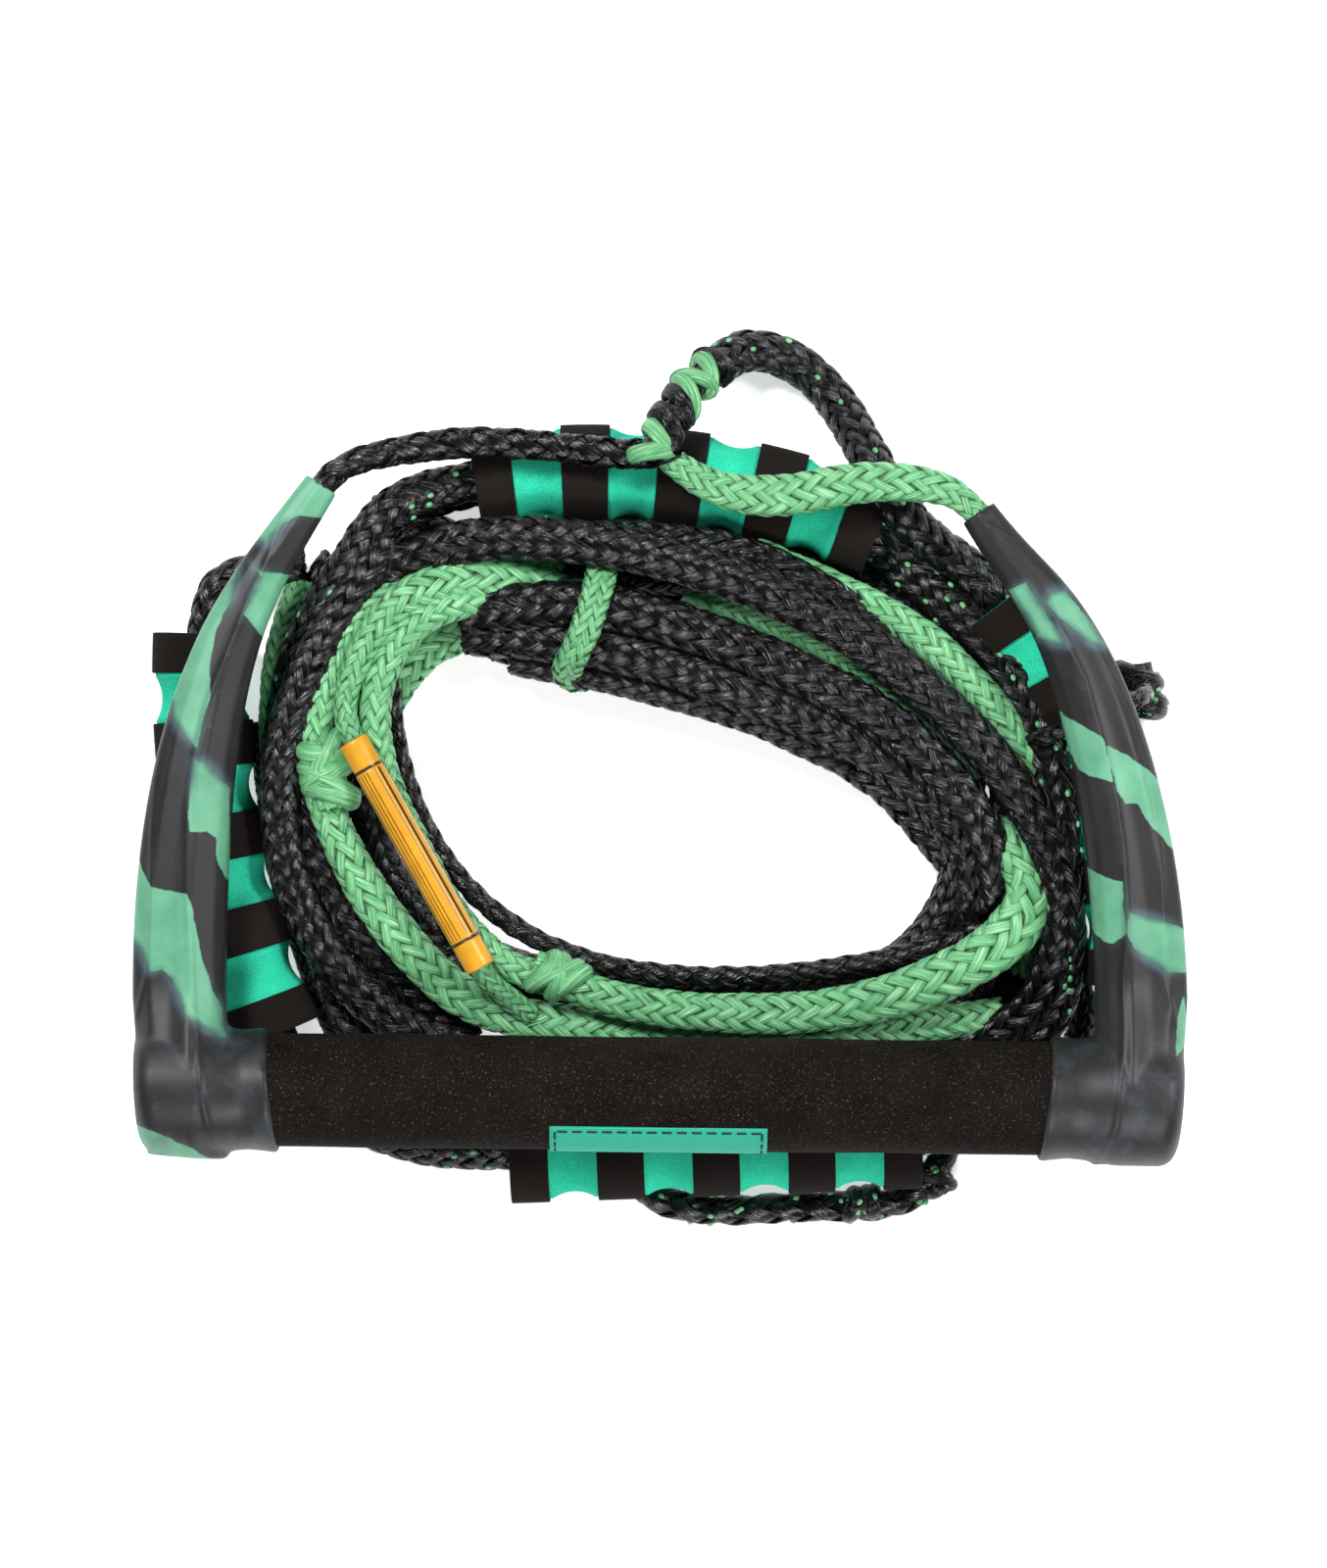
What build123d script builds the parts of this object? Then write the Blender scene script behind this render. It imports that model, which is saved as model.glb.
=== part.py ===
"""Tow rope handle: a foam-covered bar on two moulded rubber arms, its two-legged bridle, and a
tow line with four ribbed foam floats, all laid down flat on a surface with the spare line coiled.

Millimetres. +X runs along the grip, +Y from the grip towards the arm tips, +Z up from the surface
that everything lies on. The origin is on that surface, under the middle of the handle and floats.
"""
from build123d import *
from math import atan2, cos, degrees, pi, radians, sin, tan
import os

os.makedirs("parts", exist_ok=True)

# Handle
handle_z = 50.0            # height of the plane in which the grip and both arms lie
grip_centre = (-1.3, -89.0)
grip_tilt = -0.65          # degrees, the bar's slant in plan
grip_length = 254.0
grip_radius = 18.4
tube_radius = 12.7
tube_wall = 1.6
tube_inset = 23.0          # how far the tube reaches into each arm's moulding
collar_radius = 20.0
collar_length = 12.5
cap_radius = 21.6
cap_length = 33.5
cap_round = 7.0
arm_bore = 4.5
tail_radius = 4.2
plug_length = 6.0
stopper_radius = 8.5
label_length = 70.0
label_start = 32.0         # degrees round the grip from its top, towards -Y
label_end = 98.0
label_thickness = 0.6

# Stations down each arm from tip to cap: x, y, width in plan
left_stations = [
    (-110.6, 108.3, 11.4),
    (-120.8, 93.7, 14.0),
    (-129.1, 80.3, 15.9),
    (-137.0, 66.0, 18.4),
    (-142.2, 52.1, 21.2),
    (-146.8, 37.6, 23.4),
    (-151.8, 15.2, 27.0),
    (-154.5, -5.7, 28.8),
    (-156.1, -29.8, 30.2),
    (-156.4, -52.0, 30.6),
    (-156.0, -78.0, 30.0),
]
right_stations = [
    (102.1, 99.1, 12.2),
    (112.6, 85.8, 14.0),
    (120.6, 74.9, 17.0),
    (127.4, 64.2, 19.4),
    (133.8, 52.6, 21.4),
    (140.2, 37.4, 23.2),
    (146.4, 15.2, 26.2),
    (151.2, -9.0, 28.6),
    (153.4, -32.0, 29.6),
    (154.4, -54.0, 30.2),
    (154.4, -80.0, 30.0),
]
arm_depth_ratio = 0.82     # an arm's thickness in Z over its width in plan
left_exit_gap = 5.5        # from an arm's tip face to the point where its rope flexes
right_exit_gap = 7.2

# Floats: foam sleeves bent to the line's curve, five black bands round a green core
float_length = 135.6
float_radius = 16.5
float_skin = 1.3
float_groove_radius = 13.6
float_bore = 8.0
float_end_band = 12.7
float_groove = 16.0
float_grooves = 4
float_z = float_radius
float_travel = 6.0         # how far a float slides along its line, one way
float_end_gap = 0.5        # straight line left at the end of a float that it doesn't slide towards

# Lines
tow_radius = 7.2
left_leg_radius = 4.75
right_leg_radius = 6.5
splice_radius = 7.0
clearance = 0.6            # left between the coil's solid and what it lies against

# Tow line: from the bridle's splice, through float C, under the right cap and into float D
tow_route = [
    (20.0, 146.5, 14.0),
    (32.0, 152.5, 9.0),
    (47.0, 147.0, 8.5),
    (59.0, 134.0, 15.0),
    (69.0, 124.0, 26.0),
    (79.0, 113.5, 33.0),
    (87.0, 101.0, 30.0),
    (95.5, 91.0, 22.5),
    (103.1, 81.6, 16.5),
    (154.5, 15.6, 16.5),
    (155.9, -75.0, 16.5),
    (140.0, -92.0, 13.0),
    (99.0, -105.5, 16.5),
    (17.3, -108.4, 16.5),
]
# Tail line: on from float D, through float B and into the coil under the left arm
tail_route = [
    (17.3, -108.4, 16.5),
    (-66.0, -111.4, 16.5),
    (-93.0, -105.0, 12.5),
    (-119.0, -94.3, 16.5),
    (-155.0, -8.7, 16.5),
    (-151.7, 72.0, 16.5),
    (-141.0, 82.0, 13.0),
    (-119.0, 84.0, 12.0),
]
# Inner line: out of the coil at the upper left, through float A and back into it
inner_route = [
    (-104.0, 70.0, 12.0),
    (-98.5, 91.0, 15.0),
    (-83.0, 107.4, 16.5),
    (7.0, 121.8, 16.5),
    (77.5, 92.0, 16.5),
    (84.5, 81.0, 9.5),
]
tow_float_c = 9            # the corner of a route on which a float sits
tail_float_b = 4
inner_float_a = 3

left_leg_route = [
    (-107.4, 112.7, 50.0),
    (-88.0, 119.2, 46.5),
    (-62.0, 123.4, 41.5),
    (-36.0, 121.6, 40.0),
    (-12.0, 119.0, 41.0),
    (0.0, 120.5, 42.0),
]
right_leg_route = [
    (97.8, 104.9, 50.0),
    (84.5, 108.6, 51.5),
    (70.0, 109.6, 51.0),
    (55.0, 108.4, 45.5),
    (38.0, 105.2, 41.5),
    (20.0, 107.0, 41.0),
    (7.0, 113.0, 41.5),
    (1.0, 119.5, 42.0),
]
splice_route = [
    (-1.0, 120.0, 42.0),
    (3.0, 129.0, 39.0),
    (9.0, 138.0, 28.0),
    (14.5, 143.0, 19.0),
    (20.0, 146.5, 14.0),
]

# Coil of spare line: outer and inner outline in plan
coil_outer = [
    (-94.0, 93.0), (-75.0, 99.0), (-46.5, 101.0), (-11.6, 99.0), (26.5, 90.0), (61.4, 79.0),
    (88.0, 70.0), (110.0, 50.0), (127.0, 21.0), (135.5, -10.8), (135.5, -45.7), (126.0, -72.0),
    (90.0, -81.0), (7.5, -83.0), (-65.6, -82.0), (-103.7, -67.9), (-124.3, -39.4), (-133.5, -4.4),
    (-131.9, 30.5), (-120.1, 62.2),
]
coil_inner = [
    (-90.3, 43.2), (-65.6, 49.5), (-37.0, 48.6), (-8.4, 39.4), (26.5, 29.8), (61.4, 19.4),
    (85.2, 6.7), (97.0, -14.0), (96.0, -31.0), (71.0, -43.2), (26.5, -53.0), (-17.9, -46.7),
    (-52.9, -31.4), (-78.3, 1.9),
]
coil_height = 42.0
coil_middle_height = 36.0  # on the grip's side of coil_step_y
coil_step_y = 31.0
coil_low_height = 29.0     # under the grip
coil_grip_y = -66.0

# What lies on the coil and beside the floats
sleeve_ends = ((-101.0, 25.5), (-59.3, -48.5))
sleeve_radius = 5.0
sleeve_wall = 1.2
sleeve_z = coil_middle_height + sleeve_radius + 0.3
knots = {
    "left_section_knot": ((-110.0, 14.5, 32.0), (12.0, 12.5, 9.5)),
    "lower_section_knot": ((-35.5, -51.5, 30.0), (10.5, 9.5, 8.0)),
    "right_end_knot": ((157.0, 41.8, 8.2), (7.4, 9.5, 8.0)),
    "lower_line_knot": ((66.0, -128.4, 7.2), (7.8, 6.2, 7.0)),
}
right_side_radius = 3.2
right_side_route = [
    (108.0, 20.0, 39.4),
    (122.0, 26.5, 36.8),
    (138.0, 32.5, 36.6),
    (152.5, 37.5, 35.0),
    (158.5, 40.8, 27.0),
    (157.6, 41.4, 14.0),
]
lower_side_radius = 4.5
lower_side_route = [
    (98.0, -84.0, 4.6),
    (96.5, -104.0, 4.6),
    (90.0, -121.0, 4.7),
    (76.0, -129.5, 4.7),
    (50.0, -129.0, 4.7),
    (24.0, -130.6, 4.7),
    (-2.0, -130.0, 4.7),
]


def corner_radii(route, fixed):
    """Each corner's radius: as large as its two runs allow, unless a float fixes it."""
    radii = []
    for index in range(1, len(route) - 1):
        into = Vector(*route[index]) - Vector(*route[index - 1])
        out_of = Vector(*route[index + 1]) - Vector(*route[index])
        half_turn = radians(into.get_angle(out_of)) / 2
        before = into.length - fixed[index - 1][2] if index - 1 in fixed else 0.45 * into.length
        after = out_of.length - fixed[index + 1][1] if index + 1 in fixed else 0.45 * out_of.length
        radii.append(fixed[index][0] if index in fixed else min(before, after) / tan(half_turn))
    return radii


def line_path(route, fixed=None):
    """Straight runs joined by tangent arcs through a route's corners."""
    return FilletPolyline(*route, radius=corner_radii(route, fixed or {}))


def line_tube(route, radius, fixed=None):
    """A plain round tube along a line's path."""
    path = line_path(route, fixed)
    section = Plane(origin=path @ 0, z_dir=path % 0) * Circle(radius)
    return sweep(section, path=path)


class FloatBend:
    """The arc on which a bent float sits: the rounding of one corner of its line's route."""

    def __init__(self, route, corner):
        before, here, after = (Vector(*route[corner + step]) for step in (-1, 0, 1))
        into = (here - before).normalized()
        out_of = (after - here).normalized()
        self.start_angle = degrees(atan2(into.Y, into.X))
        turn = degrees(atan2(out_of.Y, out_of.X)) - self.start_angle
        self.turn = (turn + 180) % 360 - 180
        self.radius = float_length / radians(abs(self.turn))
        self.tangent = self.radius * tan(radians(abs(self.turn)) / 2)
        self.start = here - into * self.tangent
        side = 1 if self.turn > 0 else -1
        self.centre = self.start + Vector(-into.Y, into.X, 0) * (side * self.radius)
        self.side = side

    def fixed(self, corner, slides_back):
        """The corner's radius, and the straight length it needs before and after itself."""
        before = float_travel if slides_back else float_end_gap
        after = float_end_gap if slides_back else float_travel
        return {corner: (self.radius, self.tangent + before, self.tangent + after)}

    def solid(self, radius, first, last):
        """The stretch of a torus from one distance along the float to another."""
        angle = self.start_angle + self.side * degrees(first / self.radius)
        heading = Vector(cos(radians(angle)), sin(radians(angle)), 0)
        outward = Vector(heading.Y, -heading.X, 0) * self.side
        section = Plane(origin=self.centre + outward * self.radius, z_dir=heading) * Circle(radius)
        sweep_angle = degrees((last - first) / self.radius)
        axis = Axis(self.centre, Vector(0, 0, self.side))
        return revolve(section, axis=axis, revolution_arc=sweep_angle)


class FloatStraight:
    """The straight stretch of line on which a float sits, between two points of its route."""

    def __init__(self, centre, toward):
        self.heading = (Vector(*toward) - Vector(*centre)).normalized()
        self.start = Vector(*centre) - self.heading * (float_length / 2)

    def solid(self, radius, first, last):
        """The stretch of a cylinder from one distance along the float to another."""
        plane = Plane(origin=self.start + self.heading * first, z_dir=self.heading)
        return extrude(plane * Circle(radius), last - first)


def float_parts(seat):
    """A float's green core, grooved between its bands, and its five black bands."""
    middle_bands = float_grooves - 1
    middle_band = (float_length - 2 * float_end_band - float_grooves * float_groove) / middle_bands
    spans = [(0, float_end_band), (float_length - float_end_band, float_length)]
    for index in range(middle_bands):
        first = float_end_band + float_groove + index * (middle_band + float_groove)
        spans.append((first, first + middle_band))
    core = seat.solid(float_groove_radius, 0, float_length)
    bands = []
    for first, last in spans:
        inside = seat.solid(float_radius - float_skin, first, last)
        core += inside
        bands.append(seat.solid(float_radius, first, last) - inside)
    core -= seat.solid(float_bore, -1, float_length + 1)
    return core, Compound(children=bands)


def arm_direction(stations, index):
    """The way an arm runs at a station, towards its cap."""
    first = stations[max(index - 1, 0)]
    last = stations[min(index + 1, len(stations) - 1)]
    return Vector(last[0] - first[0], last[1] - first[1], 0).normalized()


def grip_frame():
    """The bar's own frame: X along its axis, Y in plan, Z up."""
    return Location((grip_centre[0], grip_centre[1], handle_z), (0, 0, grip_tilt))


def along_grip(radius, first, last):
    """A cylinder on the bar's axis from one distance along it to another."""
    shape = Cylinder(radius, last - first, rotation=(0, 90, 0))
    return Pos((first + last) / 2, 0, 0) * shape


def arm_route(stations, side):
    """The rope's way down inside an arm and round into the end of the tube."""
    lane = [(x, y, handle_z) for x, y, _ in stations[:-2:2]]
    slant = tan(radians(grip_tilt))
    tube_end = grip_length / 2 + tube_inset
    level = grip_centre[1] + side * tube_end * slant
    entry_x = stations[-1][0]
    return lane + [
        (entry_x + side * 0.6, level + 26.0, handle_z),
        (entry_x - side * 1.5, level + 7.0, handle_z),
        (entry_x - side * 10.0, level + 0.3, handle_z),
        (grip_centre[0] + side * (grip_length / 2 + 4.0), level - 0.5 * slant, handle_z),
    ]


def arm(stations, side):
    """A moulded rubber arm with its end cap and collar, bored for the tube and the rope."""
    sections = []
    for index, (x, y, width) in enumerate(stations):
        heading = arm_direction(stations, index)
        across = Vector(heading.Y, -heading.X, 0)
        plane = Plane(origin=(x, y, handle_z), x_dir=across, z_dir=heading)
        sections.append(plane * Ellipse(width / 2, width / 2 * arm_depth_ratio))
    blade = loft(sections)
    inner = grip_length / 2
    collar_end = inner + collar_length
    cap_end = collar_end + cap_length
    cap = along_grip(cap_radius, collar_end, cap_end)
    cap = fillet(cap.edges(), cap_round)
    collar = along_grip(collar_radius, inner, collar_end + cap_round + 1)
    moulding = cap + collar - along_grip(tube_radius, inner - 1, inner + tube_inset)
    if side < 0:
        moulding = Rot(0, 0, 180) * moulding
    shape = blade + grip_frame() * moulding
    shape -= grip_frame() * along_grip(tube_radius, -inner - tube_inset, inner + tube_inset)
    return shape - line_tube(bore_route(stations, side), arm_bore)


def bore_route(stations, side):
    """The rope's way, started a little outside the arm's tip face."""
    route = arm_route(stations, side)
    outward = arm_direction(stations, 0) * -2.0
    start = (route[0][0] + outward.X, route[0][1] + outward.Y, handle_z)
    return [start] + route[1:]


def ellipsoid(centre, radii):
    """A knot's plain solid."""
    return Pos(*centre) * scale(Sphere(1.0), by=radii)


def sleeve():
    """The label sleeve, shrunk round a line that lies on the coil."""
    (x0, y0), (x1, y1) = sleeve_ends
    start = Vector(x0, y0, sleeve_z)
    run = Vector(x1, y1, sleeve_z) - start
    plane = Plane(origin=start, z_dir=run.normalized())
    ring = Circle(sleeve_radius) - Circle(sleeve_radius - sleeve_wall)
    return extrude(plane * ring, run.length)


def grip_label():
    """A curved patch on the lower front of the grip."""
    ring = Circle(grip_radius + label_thickness) - Circle(grip_radius)
    span = radians(label_end - label_start)
    far = 3 * grip_radius
    wedge = make_face(Polyline((0, 0), (far, 0), (far * cos(span), far * sin(span)), (0, 0)))
    patch = ring & Rot(0, 0, 90 - label_end) * wedge
    plane = Plane(origin=(-label_length / 2, 0, 0), x_dir=(0, -1, 0), z_dir=(1, 0, 0))
    return grip_frame() * extrude(plane * patch, label_length)


seat_a = FloatBend(inner_route, inner_float_a)
seat_b = FloatBend(tail_route, tail_float_b)
seat_c = FloatBend(tow_route, tow_float_c)
seat_d = FloatStraight(tow_route[-1], tail_route[1])
fixed_a = seat_a.fixed(inner_float_a, slides_back=True)
fixed_b = seat_b.fixed(tail_float_b, slides_back=True)
fixed_c = seat_c.fixed(tow_float_c, slides_back=False)

nodes = {}
inner_end = grip_length / 2
tube = along_grip(tube_radius, -inner_end - tube_inset, inner_end + tube_inset)
tube -= along_grip(tube_radius - tube_wall, -inner_end - tube_inset - 1, inner_end + tube_inset + 1)
nodes["grip_tube"] = grip_frame() * tube
foam = along_grip(grip_radius, -inner_end, inner_end) - along_grip(tube_radius, -inner_end, inner_end)
nodes["foam_grip"] = grip_frame() * foam
nodes["grip_label"] = grip_label()

for name, stations, side in (("left", left_stations, -1), ("right", right_stations, 1)):
    nodes[name + "_arm"] = arm(stations, side)
    tail = line_tube(arm_route(stations, side), tail_radius)
    nodes[name + "_rope_tail"] = tail
    outer = inner_end + tube_inset
    plug = along_grip(tube_radius - tube_wall, outer - plug_length, outer)
    if side < 0:
        plug = Rot(0, 0, 180) * plug
    nodes[name + "_tube_plug"] = grip_frame() * plug - line_tube(arm_route(stations, side), arm_bore)
    end = arm_route(stations, side)[-1]
    knot_x = end[0] - side * stopper_radius
    nodes[name + "_stopper_knot"] = Pos(knot_x, end[1], handle_z) * Sphere(stopper_radius)

for letter, seat in (("a", seat_a), ("b", seat_b), ("c", seat_c), ("d", seat_d)):
    core, bands = float_parts(seat)
    nodes["float_" + letter + "_core"] = core
    nodes["float_" + letter + "_bands"] = bands

nodes["tow_line"] = line_tube(tow_route, tow_radius, fixed_c)
nodes["tail_line"] = line_tube(tail_route, tow_radius, fixed_b)
nodes["inner_line"] = line_tube(inner_route, tow_radius, fixed_a)
left_start = Pos(*left_leg_route[0]) * Sphere(left_leg_radius)
nodes["left_leg"] = left_start + line_tube(left_leg_route, left_leg_radius)
right_start = Pos(*right_leg_route[0]) * Sphere(right_leg_radius)
nodes["right_leg"] = right_start + line_tube(right_leg_route, right_leg_radius)
nodes["bridle_splice"] = line_tube(splice_route, splice_radius)
nodes["right_side_line"] = line_tube(right_side_route, right_side_radius)
nodes["lower_side_line"] = line_tube(lower_side_route, lower_side_radius)
nodes["label_sleeve"] = sleeve()
for name, (centre, radii) in knots.items():
    nodes[name] = ellipsoid(centre, radii)

ring = make_face(Spline(*coil_outer, periodic=True)) - make_face(Spline(*coil_inner, periodic=True))
coil = extrude(ring, coil_height)
reach = 400.0
coil -= Pos(0, coil_step_y - reach / 2, coil_middle_height + reach / 2) * Box(reach, reach, reach)
coil -= Pos(0, coil_grip_y - reach / 2, coil_low_height + reach / 2) * Box(reach, reach, reach)
for seat in (seat_a, seat_b, seat_c, seat_d):
    margin = float_travel + clearance
    coil -= seat.solid(float_radius + clearance, -margin, float_length + margin)
coil -= line_tube(tow_route, tow_radius + clearance, fixed_c)
coil -= line_tube(tail_route, tow_radius + clearance, fixed_b)
coil -= line_tube(inner_route, tow_radius + clearance, fixed_a)
nodes["rope_coil"] = coil.solids().sort_by(SortBy.VOLUME)[-1]

for name, shape in nodes.items():
    export_step(shape, "parts/" + name + ".step")

for name, route, fixed, radius in (
    ("tow_line", tow_route, fixed_c, tow_radius),
    ("tail_line", tail_route, fixed_b, tow_radius),
    ("inner_line", inner_route, fixed_a, tow_radius),
    ("left_leg", left_leg_route, {}, left_leg_radius),
    ("right_leg", right_leg_route, {}, right_leg_radius),
    ("bridle_splice", splice_route, {}, splice_radius),
    ("right_side_line", right_side_route, {}, right_side_radius),
    ("lower_side_line", lower_side_route, {}, lower_side_radius),
):
    length = line_path(route, fixed).length
    share = nodes[name].volume / (pi * radius ** 2 * length)
    radii = [round(value) for value in corner_radii(route, fixed)]
    print(name, "length", round(length), "volume share", round(share, 3), "corner radii", radii)
for name, seat in (("a", seat_a), ("b", seat_b), ("c", seat_c)):
    centre = tuple(round(value, 3) for value in seat.centre)
    print("float", name, "centre", centre, "radius", round(seat.radius, 2), "turn", round(seat.turn, 2))
print("float d heading", seat_d.heading)
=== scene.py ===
"""Looks of the tow rope handle: a foam grip between two marbled rubber arms, the braided bridle,
the floating line with its ribbed foam floats, and the coil of spare line inside them.

Route points and part sizes are written in millimetres, and MM turns them into metres.
"""
import math

import bpy
import numpy as np
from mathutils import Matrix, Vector


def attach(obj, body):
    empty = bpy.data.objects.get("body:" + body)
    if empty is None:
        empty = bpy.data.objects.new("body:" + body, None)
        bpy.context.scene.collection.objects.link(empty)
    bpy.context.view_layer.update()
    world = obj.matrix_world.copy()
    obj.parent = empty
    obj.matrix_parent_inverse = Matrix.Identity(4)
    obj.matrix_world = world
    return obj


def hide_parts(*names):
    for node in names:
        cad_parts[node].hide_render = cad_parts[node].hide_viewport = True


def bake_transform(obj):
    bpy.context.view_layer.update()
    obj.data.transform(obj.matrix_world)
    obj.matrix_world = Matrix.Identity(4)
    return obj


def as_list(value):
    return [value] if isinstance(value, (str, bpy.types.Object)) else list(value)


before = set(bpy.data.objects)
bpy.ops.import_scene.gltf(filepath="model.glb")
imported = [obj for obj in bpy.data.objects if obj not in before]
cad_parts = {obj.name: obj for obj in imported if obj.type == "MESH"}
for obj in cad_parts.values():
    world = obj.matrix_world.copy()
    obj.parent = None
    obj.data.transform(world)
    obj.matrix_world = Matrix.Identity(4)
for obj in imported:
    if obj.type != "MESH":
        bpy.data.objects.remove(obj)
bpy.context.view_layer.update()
MM = 0.001
UP = np.array([0.0, 0.0, 1.0])
rng = np.random.default_rng(7)

# Handle, as in the CAD
HANDLE_Z = 50.0
GRIP_CENTRE = (-1.3, -89.0)
GRIP_TILT = math.radians(-0.65)
GRIP_LENGTH = 254.0
GRIP_RADIUS = 18.4
TUBE_RADIUS = 12.7
COLLAR_RADIUS = 20.0
COLLAR_LENGTH = 12.5
CAP_RADIUS = 21.6
CAP_LENGTH = 33.5
ARM_DEPTH_RATIO = 0.82

# Stations down each arm from tip to cap: x, y, width in plan
ARM_STATIONS = {
    "left": [(-110.6, 108.3, 11.4), (-120.8, 93.7, 14), (-129.1, 80.3, 15.9), (-137, 66, 18.4),
        (-142.2, 52.1, 21.2), (-146.8, 37.6, 23.4), (-151.8, 15.2, 27), (-154.5, -5.7, 28.8),
        (-156.1, -29.8, 30.2), (-156.4, -52, 30.6), (-156, -78, 30), (-155.8, -95, 29.8),
        (-155.4, -109.4, 29.4)],
    "right": [(102.1, 99.1, 12.2), (112.6, 85.8, 14), (120.6, 74.9, 17), (127.4, 64.2, 19.4),
        (133.8, 52.6, 21.4), (140.2, 37.4, 23.2), (146.4, 15.2, 26.2), (151.2, -9, 28.6),
        (153.4, -32, 29.6), (154.4, -54, 30.2), (154.4, -80, 30), (154, -96, 29.8), (153.4, -110.6, 29.2)],
}
# Outlines, in plan, of the green patches moulded into each arm
ARM_PATCHES = {
    "left": [
        [(-135, 92), (-128, 89), (-123, 95), (-117, 98), (-109, 97), (-98, 103), (-104, 120), (-122, 118)],
        [(-137, 83), (-147, 67), (-158, 42), (-158, 33), (-154, 27), (-150, 23), (-149, 29), (-146, 40),
         (-146, 51), (-144, 61), (-140, 70), (-139, 74)],
        [(-133, 83), (-129, 80), (-120, 79), (-122, 72), (-129, 58), (-132, 62), (-135, 66), (-132, 73),
         (-130, 78)],
        [(-151, 19), (-148, 19), (-140, 10), (-140, -21), (-143, -15), (-144, -11), (-144, -6), (-147, -4),
         (-152, -4), (-153, 2)],
        [(-170, -8), (-168, -16), (-165, -22), (-153, -24), (-151, -30), (-148, -46), (-145, -55),
         (-142, -61), (-141, -70), (-147, -67), (-153, -62), (-158, -51), (-161, -48), (-165, -49),
         (-169, -41), (-173, -35)],
        [(-172, -97), (-166, -99), (-159, -102), (-153, -105), (-145, -110), (-145, -115), (-172, -115)],
    ],
    "right": [
        [(125, 73), (130, 74), (138, 64), (143, 56), (138, 57), (133, 61), (128, 65), (124, 70)],
        [(117, 76), (122, 69), (125, 64), (129, 58), (130, 56), (126, 57), (121, 59), (112, 74)],
        [(126, 38), (130, 33), (136, 30), (142, 26), (143, 19), (145, 12), (138, 14), (134, 16), (130, 25)],
        [(143, 24), (151, 20), (158, 15), (163, 10), (165, 0), (166, -10), (163, -8), (158, -3), (153, 5),
         (149, 5), (146, 9), (145, 15), (143, 20)],
        [(136, -15), (142, -18), (148, -20), (148, -28), (149, -37), (145, -40), (142, -39), (137, -34)],
        [(150, -30), (158, -32), (165, -34), (170, -36), (170, -50), (163, -49), (158, -46), (151, -41),
         (149, -37)],
        [(168, -57), (170, -72), (165, -76), (165, -72), (166, -63)],
    ],
}
# Where a patch's edge is feathered instead of crisp
ARM_FEATHERS = {
    "left": [(-126, 92), (-136, 76), (-156, 30), (-147, 15), (-168, -44), (-156, -58), (-146, -66)],
    "right": [(126, 76), (119, 68), (139, 58), (128, 58), (157, -31), (158, -46)],
}
# The two crests down each arm, in plan: the parting ridge, then the outer one
ARM_CRESTS = {
    "left": [
        [(-118, 106), (-122, 100), (-129, 81), (-133, 72), (-140, 54), (-146, 40), (-149, 29), (-151, 20),
         (-153, 5), (-153, -24), (-152, -38), (-151, -59), (-149, -72), (-147, -91), (-143, -111)],
        [(-137, 83), (-148, 58), (-158, 35), (-162, 23), (-164, 11), (-165, -3), (-165, -37), (-166, -49),
         (-169, -59), (-172, -68)],
    ],
    "right": [
        [(106, 95), (113, 90), (122, 76), (130, 57), (136, 45), (140, 30), (143, 19), (146, 6), (148, -8),
         (149, -23), (149, -37), (148, -52), (148, -66), (147, -80), (145, -99), (140, -111)],
        [(125, 81), (138, 64), (143, 51), (151, 36), (156, 20), (159, 6), (161, -16), (161, -52),
         (165, -63), (168, -75)],
    ],
}

# Floats: sleeves bent to the line's curve. Each bend is its centre, radius, first angle and turn,
# and the straight float is its middle and its direction.
FLOAT_LENGTH = 135.6
FLOAT_RADIUS = 16.5
FLOAT_SKIN = 1.3
FLOAT_BORE = 8.0
FLOAT_END_BAND = 12.7
FLOAT_GROOVE = 16.0
FLOAT_GROOVES = 4
FLOAT_GROOVE_DEPTH = 2.9
FLOAT_BENDS = {
    "a": ((-23.391, -128.912), 242.76, 99.1, -32.0),
    "b": ((156.46, 47.531), 308.9, 202.7, -25.15),
    "c": ((-54.225, -57.896), 209.84, 37.9, -37.03),
}
FLOAT_STRAIGHT = ((17.3, -108.4), (-0.999352, -0.035991))


# ---- materials

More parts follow.
